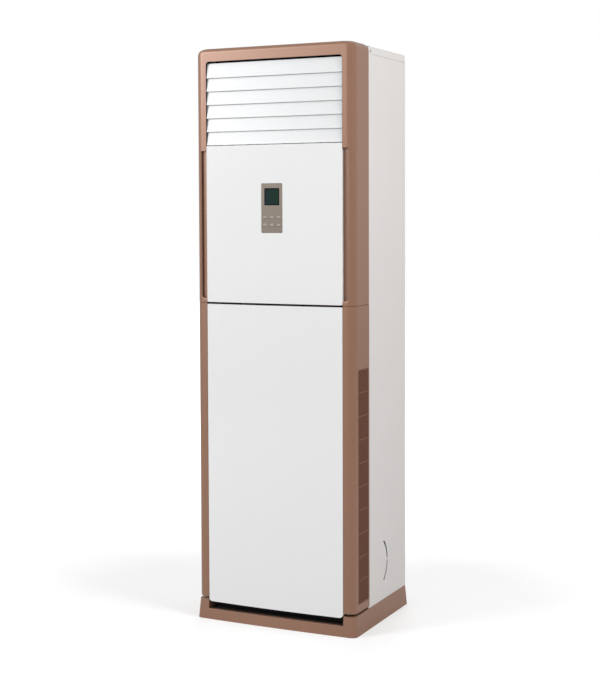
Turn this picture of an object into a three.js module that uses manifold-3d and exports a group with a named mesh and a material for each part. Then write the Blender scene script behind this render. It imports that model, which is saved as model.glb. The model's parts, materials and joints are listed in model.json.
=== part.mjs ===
// Floor standing air conditioner: the indoor cabinet of a split system, as separate pieces.
// Millimetres, +Z up, +X to the right of the front view. While the pieces are made, y = 0 is the
// front plane of the bronze columns; the whole group is then moved so that the origin lies on the
// floor under the middle of the cabinet.
import * as THREE from "three";
import { mergeVertices } from "three/addons/utils/BufferGeometryUtils.js";
import Module from "manifold-3d";

const wasm = await Module();
wasm.setup();

// ---------------------------------------------------------------- driving dimensions
// Cabinet
const bodyHeight = 1825; // floor to the top of the outlet bezel
const bodyWidth = 550; // over the bronze columns
const bodyDepth = 427; // front of the columns to the rear panel
const columnDepth = 116; // bronze return along each side
const cornerRadius = 20; // round front corner of the columns and the bezel
const mouldedWall = 3;
const sheet = 1.5; // steel sheet of the cabinet
const cabinetInset = 2; // the white sides lie inside the line of the bronze
const sheetFlange = 22; // folded edge of a sheet panel
const sheetFrontGap = 1.3; // between the bronze mouldings and the steel sides
const topDrop = 6; // the top cover lies below the top of the bezel
const topCoverHeight = 23;
const seatGap = 0.3; // between pieces that rest on each other
const seamGap = 1.5; // open line between two visible covers

// Base
const baseHeight = 63;
const baseFlare = 5; // how far the foot of the base stands out
const baseBow = 4.5; // forward bow of its front lip
const baseWall = 5;
const lipHeight = 33; // front lip below the toe recess
const toeDepth = 44;
const baseRearRadius = 9;
const columnFootGap = 6; // dark line between the base and the columns
const panFlange = 12;
const panSideGap = 2; // base pan to the folded edges of the sides

// Outlet bezel
const bezelBottom = 1021;
const bezelBand = 42; // bronze above the outlet
const bezelTopRadius = 26; // upper corners in the front view
const bezelEdgeRadius = 14; // top front edge
const bezelRearRadius = 18; // top rear edge
const frontBorder = 39.5; // bronze beside the outlet and the panels
const outletCornerRadius = 9;
const scoopDepth = 10; // finger channel beside the upper panel
const scoopReach = 24; // how far the channel reaches from the panel's edge
const scoopTopDrop = 16; // below the outlet
const scoopRise = 9; // its foot above the bezel's lower edge
const scoopFootRadius = 16;

// Front panels
const panelProud = 2; // the panels stand in front of the columns at their edges
const panelCrown = 6; // further bulge in the middle
const panelWall = 3;
const panelGap = 6.5; // dark line between upper and lower panel
const panelEdgeRadius = 3;
const upperPanelRise = 2; // its lower edge above the bezel's lower edge
const lowerPanelDrop = 5; // its lower edge below the top of the base
const lowerPanelDepth = 16;
const lowerPanelCorner = 12;
const panelSideGap = 1;
const panelRibCount = 4;
const panelRibDepth = 8;
const jambDepth = 22; // return of each column behind the panel's edge
const columnFlange = 12; // folded inwards at the rear of each column
const hingeRadius = 2.2;
const hingeHoleRadius = 2.7;
const hingeDepth = 5.5; // hinge line behind the front plane
const hingeDrop = 4.5; // hinge line below the panel's top edge

// Side intake grilles
const grilleFront = 28;
const grilleLength = 82;
const grilleBottom = 95;
const grilleRows = 10;
const grillePitch = 72.9;
const grilleBar = 5;
const grilleSlots = 6;
const grilleSlat = 3;
const grilleFrame = 4;
const grilleThickness = 4;
const grilleLip = 3; // flange behind the column's wall
const grilleRecess = 0.6;
const filterThickness = 5;
const filterMesh = 1;
const filterFrame = 5;
const filterMargin = 2;
const filterBars = 3;

// Louvres
const louverCount = 6;
const louverPitch = 42.4;
const louverChord = 47;
const louverThickness = 2.4;
const louverBulge = 1.2;
const louverTilt = 5; // degrees from upright when closed, so that the blades overlap
const louverTopGap = 6;
const louverBottomGap = 0.8; // lowest blade above the upper panel
const louverPivotDepth = 22;
const louverSetForward = 14; // the blade stands in front of its pivot line
const louverEarThickness = 2.6;
const louverEarReach = 4; // material round the pivot line
const louverEndGap = 0.5;
const pivotRadius = 2;
const pivotHoleRadius = 2.5;
const crankReach = 29; // crank pin along the blade from its pivot
const crankOffset = 6; // and behind the blade
const crankPinRadius = 1.5;
const crankHoleRadius = 2;
const crankInset = 9; // link bar from the blade's end
const crankLugThickness = 3;
const linkThickness = 4;
const linkFrontWidth = 3;
const linkRearWidth = 5;

// Outlet frame, vertical vanes
const frameWall = 5;
const frameSideGap = 1;
const frameTopGap = 7;
const frameDepth = 109;
const vaneCount = 7;
const vaneEndSpace = 49.5; // last vanes from the sides of the outlet
const vaneChord = 36;
const vaneThickness = 2;
const vanePivotDepth = 80;
const vaneEndGap = 2;
const vanePinReach = 23;
const vaneLugHalf = 2.5;
const vaneLinkWidth = 5;
const vaneLinkHeight = 4;
const smallMotorRadius = 12;
const smallMotorLength = 12;

// Control console
const consoleWidth = 73;
const consoleHeight = 154;
const consoleBottom = 1243;
const consoleThickness = 4.6;
const consoleRecess = 0.4;
const consoleCorner = 3;
const displayWidth = 51.5;
const displayHeight = 53;
const displayTopMargin = 15;
const buttonWidth = 15;
const buttonHeight = 9;
const buttonProud = 1;
const buttonCorner = 2.5;
const buttonColumnPitch = 23.5;
const buttonRowPitch = 24;
const buttonFirstRow = 25; // lower row above the console's lower edge
const snapFlange = 1; // rim that holds a key or the window behind the console
const boardThickness = 1.6;

// Air path
const fanOffset = -16;
const fanHeight = 430;
const scrollDepth = 163;
const scrollWall = 3;
const scrollTongueRadius = 178;
const scrollLegShare = 0.75; // the legs stand at this share of the tongue's radius
const scrollFoot = 28;
const scrollOutletRadius = 235;
const throatInner = 46; // inner wall of the throat from the fan's axis
const wheelRadius = 165;
const wheelDepth = 136;
const wheelFrontGap = 11;
const wheelRim = 15;
const wheelRimDepth = 5;
const wheelDisc = 4;
const bladeCount = 24;
const bladeThickness = 2;
const bladeSweep = 9;
const hubRadius = 22;
const hubDepth = 22;
const shaftRadius = 6;
const shaftGap = 0.4;
const inletRadius = 125;
const inletFlare = 30;
const inletCollar = 8;
const motorRadius = 58;
const motorLength = 50;
const motorCap = 8;
const motorBandRise = 1.5;
const motorRearGap = 9; // to the rear panel
const bracketThickness = 3;
const bracketReach = 105;
const bracketRound = 22;
const partitionHeight = 838;
const partitionShelf = 28; // before the drain pan
const partitionLip = 15;
const coilLength = 640;
const coilThickness = 50;
const coilSideGap = 40; // room for the return bends and the pipes at each end
const coilFootGap = 46; // foot of the coil before the blower casing
const coilTopGap = 14; // head of the coil to the rear panel
const coilRise = 10; // its foot above the floor of the drain pan
const coilBends = 5;
const coilBendReach = 14;
const coilEndPlate = 2;
const panWall = 3;
const panHeight = 60;
const panDepth = 95;
const panMargin = 10; // beyond the coil at each end
const panFrontMargin = 14; // before the coil's foot
const spoutRadius = 9;
const spoutWall = 2;
const spoutLength = 32;
const spoutInset = 20;
const gasPipeRadius = 8;
const liquidPipeRadius = 4.8;
const pipeSpacing = 17;
const pipeSideGap = 6; // to the side panel
const pipeSetBack = 28; // gas pipe behind the middle of the coil's foot
const pipeRise = 75; // gas pipe's stub above the coil's foot
const pipeStep = 24; // liquid pipe's stub above the gas pipe's
const pipeSlack = 3; // round the pipes in the partition
const pipeEndHeight = 260;
const flareNutLength = 22;

// Electric box and side knock-out
const boxWidth = 180;
const boxHeight = 140;
const boxDepth = 72;
const boxTopDrop = 36;
const boxScrollInset = 4; // its right side from the side of the casing
const coverLap = 3;
const coverStep = 12;
const coverRise = 3;
const catchHeight = 30;
const catchRise = 41; // above the foot of the columns
const catchWidth = 14;
const catchDepth = 12;
const catchNoseInset = 7;
const knockoutRadius = 56;
const knockoutDepth = 208;
const knockoutHeight = 184;
const knockoutSlit = 2.6;

// ---------------------------------------------------------------- derived levels and lines
const halfBody = bodyWidth / 2;
const outletHalf = halfBody - frontBorder;
const panelHalf = outletHalf;
const cornerLine = halfBody - cornerRadius; // where the round corners begin
const jambHalf = panelHalf + panelSideGap;
const columnBottom = baseHeight + columnFootGap;
const columnTop = bezelBottom - seamGap;
const outletTop = bodyHeight - bezelBand;
const louverTopPivot = outletTop - louverTopGap - louverChord / 2;
const louverPivotHeights = Array.from({ length: louverCount },
  (_, i) => louverTopPivot - i * louverPitch);
const louverLean = THREE.MathUtils.degToRad(louverTilt);
const louverDrop = (louverChord / 2) * Math.cos(louverLean)
  - (louverSetForward + louverThickness / 2) * Math.sin(louverLean);
const outletBottom = louverPivotHeights.at(-1) - louverDrop - louverBottomGap;
const upperPanelBottom = bezelBottom + upperPanelRise;
const lowerPanelTop = upperPanelBottom - panelGap;
const lowerPanelBottom = baseHeight - lowerPanelDrop;
const hingeHeight = lowerPanelTop - hingeDrop;
const cabinetHalf = halfBody - cabinetInset;
const cabinetFront = columnDepth + sheetFrontGap;
const cabinetBottom = baseHeight + seatGap;
const coverTop = bodyHeight - topDrop;
const coverBottom = coverTop - topCoverHeight;
const grilleTop = grilleBottom + grilleRows * grillePitch;
const grilleRear = grilleFront + grilleLength;
const insideTop = baseHeight + seatGap + sheet + seatGap; // on the base pan

// ---------------------------------------------------------------- modelling helpers
const RIGHT = new THREE.Vector3(1, 0, 0);
const BACK = new THREE.Vector3(0, 1, 0);
const UP = new THREE.Vector3(0, 0, 1);
const FRONT = new THREE.Vector3(0, -1, 0);
// A prism's outline is drawn in (y, z) for axis x, in (x, z) for axis y and in (x, y) for axis z.
const DRAWING_PLANES = {
  x: new THREE.Matrix4().makeBasis(BACK, UP, RIGHT),
  y: new THREE.Matrix4().makeBasis(RIGHT, UP, FRONT),
  z: new THREE.Matrix4(),
};

function solid(geometry) {
  geometry.deleteAttribute("normal");
  geometry.deleteAttribute("uv");
  const merged = mergeVertices(geometry, 1e-4);
  return new wasm.Manifold(new wasm.Mesh({
    numProp: 3,
    vertProperties: new Float32Array(merged.attributes.position.array),
    triVerts: new Uint32Array(merged.index.array),
  }));
}

// Closed outline through corners [a, b, radius]; a corner with a radius becomes an arc.
function outline(corners, steps = 6) {
  const points = [];
  corners.forEach(([a, b, radius = 0], i) => {
    const corner = new THREE.Vector2(a, b);
    if (radius === 0) {
      points.push(corner);
      return;
    }
    const [beforeA, beforeB] = corners.at(i - 1);
    const [afterA, afterB] = corners[(i + 1) % corners.length];
    const arriving = corner.clone().sub(new THREE.Vector2(beforeA, beforeB)).normalize();
    const leaving = new THREE.Vector2(afterA, afterB).sub(corner).normalize();
    const turn = Math.atan2(arriving.cross(leaving), arriving.dot(leaving));
    const start = corner.clone().addScaledVector(arriving, -radius * Math.tan(Math.abs(turn) / 2));
    const toCentre = new THREE.Vector2(-arriving.y, arriving.x).multiplyScalar(radius * Math.sign(turn));
    const centre = start.clone().add(toCentre);
    for (let k = 0; k <= steps; k++) {
      points.push(start.clone().rotateAround(centre, (turn * k) / steps));
    }
  });
  return points;
}

function rectangle([a0, a1], [b0, b1], radius = 0, steps = 4) {
  return outline([[a0, b0, radius], [a1, b0, radius], [a1, b1, radius], [a0, b1, radius]], steps);
}

function circle(a, b, radius, sides = 12) {
  return Array.from({ length: sides }, (_, i) => {
    const angle = (2 * Math.PI * i) / sides;
    return new THREE.Vector2(a + radius * Math.cos(angle), b + radius * Math.sin(angle));
  });
}

function prism(axis, points, [from, to], holes = []) {
  const shape = new THREE.Shape(points);
  shape.holes = holes.map((hole) => new THREE.Path(hole));
  const geometry = new THREE.ExtrudeGeometry(shape, { depth: to - from, bevelEnabled: false });
  geometry.applyMatrix4(DRAWING_PLANES[axis]);
  if (axis === "x") geometry.translate(from, 0, 0);
  if (axis === "y") geometry.translate(0, to, 0);
  if (axis === "z") geometry.translate(0, 0, from);
  return solid(geometry);
}

function block([x0, x1], [y0, y1], [z0, z1]) {
  const geometry = new THREE.BoxGeometry(x1 - x0, y1 - y0, z1 - z0);
  geometry.translate((x0 + x1) / 2, (y0 + y1) / 2, (z0 + z1) / 2);
  return solid(geometry);
}

// Round bar along an axis; [a, b] is its centre in the drawing plane of that axis.
function bar(axis, [a, b], radius, span, sides = 12) {
  return prism(axis, circle(a, b, radius, sides), span);
}

function revolve(profile, sides) {
  const geometry = new THREE.LatheGeometry(profile.map(([r, h]) => new THREE.Vector2(r, h)), sides);
  return solid(geometry);
}

function sweep(section, path, steps) {
  const settings = { steps, extrudePath: path, bevelEnabled: false };
  return solid(new THREE.ExtrudeGeometry(section, settings));
}

// Skin through rings of equal count, counter-clockwise seen from above, from the lowest to the top.
function loft(rings) {
  const count = rings[0].length;
  const lastRing = (rings.length - 1) * count;
  const faces = [];
  for (let level = 0; level < rings.length - 1; level++) {
    for (let i = 0; i < count; i++) {
      const a = level * count + i;
      const b = level * count + ((i + 1) % count);
      faces.push(a, b, b + count, a, b + count, a + count);
    }
  }
  const cap = THREE.ShapeUtils.triangulateShape(rings[0].map((p) => new THREE.Vector2(p.x, p.y)), []);
  for (const [a, b, c] of cap) faces.push(c, b, a, lastRing + a, lastRing + b, lastRing + c);
  const geometry = new THREE.BufferGeometry();
  const positions = rings.flat().flatMap((p) => p.toArray());
  geometry.setAttribute("position", new THREE.Float32BufferAttribute(positions, 3));
  geometry.setIndex(faces);
  return solid(geometry);
}

const union = (...solids) => solids.reduce((whole, piece) => whole.add(piece));
const cut = (whole, ...tools) => tools.reduce((rest, tool) => rest.subtract(tool), whole);
const across = (side, inner, outer) => (side > 0 ? [inner, outer] : [-outer, -inner]);
const spread = (half) => [-half, half];
const grow = ([a, b], margin) => [a - margin, b + margin];
const degrees = (angle) => (angle * Math.PI) / 180;

// ---------------------------------------------------------------- materials
const finish = (color, roughness, metalness = 0) =>
  new THREE.MeshStandardMaterial({ color, roughness, metalness, flatShading: true });
const bronze = finish(0xa37c68, 0.38, 0.25);
const bronzeGrille = finish(0x6b4e40, 0.55, 0.1);
const whitePanel = finish(0xecebeb, 0.22);
const whiteSteel = finish(0xdad6d5, 0.5);
const whiteLouver = finish(0xf2f3f5, 0.3);
const consolePaint = finish(0x978b80, 0.42, 0.3);
const keyGrey = finish(0xa79c92, 0.45, 0.1);
const darkGlass = finish(0x22332e, 0.08);
const darkPlastic = finish(0x34353a, 0.6);
const boardGreen = finish(0x2f6b45, 0.55);
const filterGrey = finish(0x8b8f92, 0.75);
const zincSteel = finish(0xb4b7b8, 0.45, 0.8);
const finAluminium = finish(0xc9ccd0, 0.4, 0.85);
const copper = finish(0xb8734a, 0.35, 0.9);
const greyPlastic = finish(0xc4c7c8, 0.6);
const foam = finish(0xe9e9e4, 0.9);
const motorSteel = finish(0x50545a, 0.45, 0.6);

// ---------------------------------------------------------------- scene graph
const airConditioner = new THREE.Group();
const cabinet = new THREE.Group();
airConditioner.add(cabinet);

function piece(name, material, shape, position = [0, 0, 0], parent = cabinet) {
  const { numProp, vertProperties, triVerts } = shape.getMesh();
  const geometry = new THREE.BufferGeometry();
  const corners = new THREE.BufferAttribute(new Float32Array(vertProperties), numProp);
  geometry.setAttribute("position", corners);
  geometry.setIndex(new THREE.BufferAttribute(new Uint32Array(triVerts), 1));
  geometry.computeVertexNormals();
  const mesh = new THREE.Mesh(geometry, material);
  mesh.name = name;
  mesh.position.set(...position);
  parent.add(mesh);
}

// ---------------------------------------------------------------- base
const frontBowPoints = 8;

function plinthRing(outset, height) {
  const half = halfBody + outset;
  const front = -outset;
  const bow = (baseBow * outset) / baseFlare;
  const frontCorners = [];
  for (let i = 1; i < frontBowPoints; i++) {
    const x = -cornerLine + (2 * cornerLine * i) / frontBowPoints;
    frontCorners.push([x, front - bow * (1 - (x / cornerLine) ** 2)]);
  }
  const ring = outline([
    [-half, bodyDepth + outset, baseRearRadius],
    [-half, front, cornerRadius],
    ...frontCorners,
    [half, front, cornerRadius],
    [half, bodyDepth + outset, baseRearRadius],
  ]);
  return ring.map((p) => new THREE.Vector3(p.x, p.y, height));
}

function basePlinth() {
  const body = loft([plinthRing(baseFlare, 0), plinthRing(0.2, baseHeight)]);
  const innerHalf = halfBody - baseWall;
  const toeWall = toeDepth + baseWall;
  const toeRecess = block(spread(jambHalf), [-bodyDepth, toeDepth], [lipHeight, bodyHeight]);
  const lowHollow = block(spread(outletHalf), [baseWall, toeWall + 1], [-1, lipHeight - baseWall]);
  const hollowDepth = [toeWall, bodyDepth - baseWall];
  const hollow = block(spread(innerHalf), hollowDepth, [-1, baseHeight - baseWall]);
  return cut(body, toeRecess, lowHollow, hollow);
}
piece("base_plinth", bronze, basePlinth());

function basePan() {
  const half = cabinetHalf - sheetFlange - panSideGap;
  const depth = [toeDepth, bodyDepth - sheet - sheetFlange];
  const bottom = baseHeight + seatGap;
  const outer = block(spread(half), depth, [bottom, bottom + panFlange]);
  const innerDepth = [depth[0] + sheet, depth[1] - sheet];
  const inner = block(spread(half - sheet), innerDepth, [bottom + sheet, bottom + panFlange + 1]);
  return cut(outer, inner);
}
piece("base_pan", zincSteel, basePan());

// ---------------------------------------------------------------- sheet cabinet
function sidePanel(side) {
  const outer = cabinetHalf;
  const rear = bodyDepth - sheet - seatGap;
  const corners = [
    [outer, cabinetFront], [outer, rear], [outer - sheet, rear], [outer - sheet, cabinetFront + sheet],
    [outer - sheetFlange, cabinetFront + sheet], [outer - sheetFlange, cabinetFront],
  ].map(([x, y]) => [side * x, y]);
  return prism("z", outline(corners), [cabinetBottom, coverBottom - seatGap]);
}

// Slit of the pipe knock-out: an arc that leaves bridges at its middle and its ends.
function knockoutSlits() {
  const slits = [];
  for (const [from, to] of [[-66, -6], [6, 66]]) {
    const steps = 8;
    const arc = (radius, reverse) => Array.from({ length: steps + 1 }, (_, i) => {
      const share = reverse ? 1 - i / steps : i / steps;
      const angle = degrees(from + (to - from) * share);
      return new THREE.Vector2(knockoutDepth + radius * Math.cos(angle),
        knockoutHeight + radius * Math.sin(angle));
    });
    const points = [...arc(knockoutRadius, false), ...arc(knockoutRadius - knockoutSlit, true)];
    slits.push(prism("x", points, [cabinetHalf - sheet - 1, cabinetHalf + 1]));
  }
  return slits;
}
piece("left_side_panel", whiteSteel, sidePanel(-1));
piece("right_side_panel", whiteSteel, cut(sidePanel(1), ...knockoutSlits()));

function rearPanel() {
  const inner = cabinetHalf - sheet - seatGap;
  const front = bodyDepth - sheet - sheetFlange;
  const corners = [
    [-cabinetHalf, bodyDepth], [-cabinetHalf, bodyDepth - sheet], [-inner, bodyDepth - sheet],
    [-inner, front], [-inner + sheet, front], [-inner + sheet, bodyDepth - sheet],
    [inner - sheet, bodyDepth - sheet], [inner - sheet, front], [inner, front],
    [inner, bodyDepth - sheet], [cabinetHalf, bodyDepth - sheet], [cabinetHalf, bodyDepth],
  ];
  return prism("z", outline(corners), [cabinetBottom, coverBottom - seatGap]);
}
piece("rear_panel", whiteSteel, rearPanel());

function topCover() {
  const outer = prism("z", outline([
    [-cabinetHalf, cabinetFront], [cabinetHalf, cabinetFront],
    [cabinetHalf, bodyDepth, 5], [-cabinetHalf, bodyDepth, 5],
  ], 3), [coverBottom, coverTop]);
  const innerDepth = [cabinetFront + sheet, bodyDepth - sheet];
  const inner = block(spread(cabinetHalf - sheet), innerDepth, [coverBottom - 1, coverTop - sheet]);
  return cut(outer, inner);
}
piece("top_cover", whiteSteel, topCover());

// ---------------------------------------------------------------- outlet bezel
function bezelBody(inset) {
  const half = halfBody - inset;
  const radius = cornerRadius - inset;
  const top = bodyHeight - inset;
  const back = columnDepth + (inset > 0 ? 1 : 0);
  const bottom = bezelBottom - (inset > 0 ? 1 : 0);
  const plan = prism("z", outline([
    [-half, back], [-half, inset, radius], [half, inset, radius], [half, back],
  ], 10), [bottom, top]);
  const frontView = prism("y", outline([
    [-half, bottom], [half, bottom],
    [half, top, bezelTopRadius - inset], [-half, top, bezelTopRadius - inset],
  ], 6), [inset, back]);
  const rear = columnDepth - inset;
  const sideView = prism("x", outline([
    [inset, bottom], [back, bottom], [back, coverBottom], [rear, coverBottom],
    [rear, top, bezelRearRadius - inset], [inset, top, bezelEdgeRadius - inset],
  ], 5), spread(half));
  return plan.intersect(frontView).intersect(sideView);
}

function outletBezel() {
  const inside = mouldedWall;
  const backing = block(spread(halfBody), [scoopDepth, scoopDepth + inside],
    [bezelBottom, outletBottom]);
  const shell = cut(bezelBody(0), bezelBody(inside));
  const filled = union(shell, backing.intersect(bezelBody(0)));
  const opening = prism("y", outline([
    [-outletHalf, outletBottom], [outletHalf, outletBottom],
    [outletHalf, outletTop, outletCornerRadius], [-outletHalf, outletTop, outletCornerRadius],
  ], 4), [-1, columnDepth]);
  const panelSeat = block(spread(jambHalf), [-1, scoopDepth], [bezelBottom - 1, outletBottom + 1]);
  const scoopHalf = jambHalf + scoopReach;
  const scoops = prism("y", outline([
    [-scoopHalf, bezelBottom + scoopRise, scoopFootRadius],
    [scoopHalf, bezelBottom + scoopRise, scoopFootRadius],
    [scoopHalf, outletBottom - scoopTopDrop], [-scoopHalf, outletBottom - scoopTopDrop],
  ], 6), [-1, scoopDepth]);
  return cut(filled, opening, panelSeat, scoops);
}
piece("outlet_bezel", bronze, outletBezel());

// ---------------------------------------------------------------- lower columns, grilles, filters
const handed = (side, points) => points.map((p) => new THREE.Vector2(side * p.x, p.y));

function columnPlan(inset) {
  return outline([
    [outletHalf - 1, inset], [halfBody - inset, inset, cornerRadius - inset],
    [halfBody - inset, columnDepth - inset], [outletHalf - 1, columnDepth - inset],
  ], 10);
}

function lowerColumn(side) {
  const wall = mouldedWall;
  const inner = halfBody - wall;
  const levels = [columnBottom, columnTop];
  const outer = prism("z", handed(side, columnPlan(0)), levels);
  const hollow = prism("z", handed(side, columnPlan(wall)), levels);
  const jambSpan = across(side, jambHalf, jambHalf + wall);
  const jamb = block(jambSpan, [0, jambDepth], levels).intersect(outer);
  const panelSpace = block(across(side, 0, jambHalf), [-1, columnDepth + 1], [0, bodyHeight]);
  const rearOpening = block(across(side, 0, inner - columnFlange),
    [jambDepth, columnDepth + 1], [0, bodyHeight]);
  const window = block(across(side, inner - 1, halfBody + 1),
    [grilleFront, grilleRear], [grilleBottom, grilleTop]);
  const hingeSpan = across(side, jambHalf - 1, jambHalf + wall + 1);
  const hingeHole = bar("x", [hingeDepth, hingeHeight], hingeHoleRadius, hingeSpan);
  return cut(union(cut(outer, hollow), jamb), panelSpace, rearOpening, window, hingeHole);
}

function intakeGrille(side) {
  const face = halfBody - grilleRecess;
  const back = face - grilleThickness;
  const depth = [grilleFront + seatGap, grilleRear - seatGap];
  const levels = [grilleBottom + seatGap, grilleTop - seatGap];
  const slotPitch = (depth[1] - depth[0] - 2 * grilleFrame + grilleSlat) / grilleSlots;
  const slots = [];
  for (let row = 0; row < grilleRows; row++) {
    const lowest = row === 0 ? levels[0] + grilleFrame
      : grilleBottom + row * grillePitch + grilleBar / 2;
    const highest = row === grilleRows - 1 ? levels[1] - grilleFrame
      : grilleBottom + (row + 1) * grillePitch - grilleBar / 2;
    for (let slot = 0; slot < grilleSlots; slot++) {
      const left = depth[0] + grilleFrame + slot * slotPitch;
      slots.push(block(across(side, back - 1, face + 1),
        [left, left + slotPitch - grilleSlat], [lowest, highest]));
    }
  }
  const plate = cut(block(across(side, back, face), depth, levels), ...slots);
  const lipFace = halfBody - mouldedWall - seatGap;
  const lipOuter = rectangle(grow(depth, grilleLip), grow(levels, grilleLip));
  const lipInner = rectangle(grow(depth, -grilleFrame), grow(levels, -grilleFrame));
  const lip = prism("x", lipOuter, across(side, lipFace - grilleLip, lipFace), [lipInner]);
  return union(plate, lip);
}

function airFilter(side) {
  const outer = halfBody - mouldedWall - grilleLip - 2 * seatGap;
  const depth = [grilleFront - filterMargin, grilleRear + filterMargin];
  const levels = [grilleBottom - filterMargin, grilleTop + filterMargin];
  const inside = [depth[0] + filterFrame, depth[1] - filterFrame];
  const insideLevels = [levels[0] + filterFrame, levels[1] - filterFrame];
  const frame = prism("x", rectangle(depth, levels), across(side, outer - filterThickness, outer),
    [rectangle(inside, insideLevels)]);
  const middle = outer - filterThickness / 2;
  const meshSpan = across(side, middle - filterMesh / 2, middle + filterMesh / 2);
  const mesh = block(meshSpan, [depth[0] + 1, depth[1] - 1], [levels[0] + 1, levels[1] - 1]);
  const bars = [];
  for (let i = 1; i <= filterBars; i++) {
    const height = levels[0] + ((levels[1] - levels[0]) * i) / (filterBars + 1);
    bars.push(block(across(side, outer - filterThickness, outer), [depth[0] + 1, depth[1] - 1],
      [height - filterFrame / 2, height + filterFrame / 2]));
  }
  return union(frame, mesh, ...bars);
}

for (const [word, side] of [["left", -1], ["right", 1]]) {
  piece(`${word}_lower_column`, bronze, lowerColumn(side));
  piece(`${word}_intake_grille`, bronzeGrille, intakeGrille(side));
  piece(`${word}_air_filter`, filterGrey, airFilter(side));
}

// ---------------------------------------------------------------- white front panels
const crownPoints = 8;

function crownedPlan(half, face, depth, radius = 0) {
  const crown = [];
  for (let i = 1; i < crownPoints; i++) {
    const x = -half + (2 * half * i) / crownPoints;
    crown.push([x, face - panelCrown * (1 - (x / half) ** 2)]);
  }
  const corners = [[-half, depth], [-half, face, radius], ...crown, [half, face, radius], [half, depth]];
  return outline(corners, 3);
}

function panelShell(bottom, top, depth, lowerCorner) {
  const plan = prism("z", crownedPlan(panelHalf, -panelProud, depth, panelEdgeRadius), [bottom, top]);
  const front = prism("y", outline([
    [-panelHalf, bottom, lowerCorner], [panelHalf, bottom, lowerCorner],
    [panelHalf, top], [-panelHalf, top],
  ], 5), [-panelProud - panelCrown - 1, depth]);
  const innerPlan = crownedPlan(panelHalf - panelWall, panelWall - panelProud, depth + 1);
  const inner = prism("z", innerPlan, [bottom + panelWall, top - panelWall]);
  return { outer: plan.intersect(front), shell: cut(plan.intersect(front), inner) };
}

function lowerPanel() {
  const { outer, shell } = panelShell(lowerPanelBottom, lowerPanelTop, lowerPanelDepth,
    lowerPanelCorner);
  const ribs = [];
  for (let i = 1; i <= panelRibCount; i++) {
    const height = lowerPanelBottom + ((lowerPanelTop - lowerPanelBottom) * i) / (panelRibCount + 1);
    ribs.push(block(spread(panelHalf), [-panelProud - panelCrown, panelRibDepth],
      [height - panelWall / 2, height + panelWall / 2]).intersect(outer));
  }
  const pinReach = jambHalf + mouldedWall;
  const pins = [-1, 1].map((side) =>
    bar("x", [hingeDepth, hingeHeight], hingeRadius, across(side, panelHalf - panelWall, pinReach)));
  return union(shell, ...ribs, ...pins);
}
piece("lower_front_panel", whitePanel, lowerPanel());

const consoleMiddle = [spread(consoleWidth / 2), [consoleBottom, consoleBottom + consoleHeight]];

function upperPanel() {
  const { outer, shell } = panelShell(upperPanelBottom, outletBottom, scoopDepth - seatGap,
    panelEdgeRadius);
  const ribs = [consoleBottom - 30, consoleBottom + consoleHeight + 30].map((height) =>
    block(spread(panelHalf), [-panelProud - panelCrown, panelRibDepth],
      [height - panelWall / 2, height + panelWall / 2]).intersect(outer));
  const window = prism("y", rectangle(
    grow(consoleMiddle[0], seatGap), grow(consoleMiddle[1], seatGap), consoleCorner,
  ), [-panelProud - panelCrown - 1, 0]);
  return cut(union(shell, ...ribs), window);
}
piece("upper_front_panel", whitePanel, upperPanel());

// ---------------------------------------------------------------- control console
const consoleFace = -panelProud - panelCrown + consoleRecess;
const consoleBack = consoleFace + consoleThickness;
const consoleCrownDrop = panelCrown * (consoleWidth / 2 / panelHalf) ** 2;
const skinBack = -panelProud - panelCrown + panelWall + consoleCrownDrop;
const displayTop = consoleBottom + consoleHeight - displayTopMargin;
const displaySpan = [spread(displayWidth / 2), [displayTop - displayHeight, displayTop]];
const buttonPlaces = [0, 1].flatMap((row) => [-1, 0, 1].map((column) =>
  [column * buttonColumnPitch, consoleBottom + buttonFirstRow + row * buttonRowPitch]));
const buttonNames = ["temp_down", "fan", "temp_up", "swing", "power", "mode"];
const boardFront = consoleBack + snapFlange + seatGap + 2 * buttonProud;

function controlConsole() {
  const plate = prism("y", rectangle(...consoleMiddle, consoleCorner), [consoleFace, consoleBack]);
  const rimSpan = consoleMiddle.map((span) => grow(span, 3));
  const rim = prism("y", rectangle(...rimSpan, consoleCorner), [skinBack + seatGap, consoleBack]);
  const opening = prism("y", rectangle(
    grow(displaySpan[0], seatGap), grow(displaySpan[1], seatGap),
  ), [consoleFace - 1, consoleBack + 1]);
  const keyholes = buttonPlaces.map(([x, z]) => prism("y", rectangle(
    grow([x - buttonWidth / 2, x + buttonWidth / 2], seatGap),
    grow([z - buttonHeight / 2, z + buttonHeight / 2], seatGap), buttonCorner, 2,
  ), [consoleFace - 1, consoleBack + 1]));
  const posts = [-1, 1].flatMap((side) => [0, 1].map((end) => {
    const x = across(side, consoleWidth / 2 - 5, consoleWidth / 2 - 1);
    const z = end ? consoleBottom + consoleHeight - 3 : consoleBottom + 3;
    return block(x, [consoleBack - 1, boardFront - seatGap], [z - 2, z + 2]);
  }));
  return cut(union(plate, rim, ...posts), opening, ...keyholes);
}
piece("control_console", consolePaint, controlConsole());

function displayWindow() {
  const rear = consoleBack + seatGap;
  const pane = prism("y", rectangle(...displaySpan), [consoleFace + consoleRecess, rear]);
  const rim = displaySpan.map((span) => grow(span, 2));
  return union(pane, prism("y", rectangle(...rim), [rear, rear + snapFlange]));
}
piece("display_window", darkGlass, displayWindow());

function controlBoard() {
  const span = [grow(consoleMiddle[0], -1), grow(consoleMiddle[1], -1)];
  const board = prism("y", rectangle(...span), [boardFront, boardFront + boardThickness]);
  const displayBlock = prism("y", rectangle(grow(displaySpan[0], -2), grow(displaySpan[1], -2)),
    [consoleBack + snapFlange + 2 * seatGap, boardFront + 1]);
  return union(board, displayBlock);
}
piece("control_board", boardGreen, controlBoard());

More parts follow.
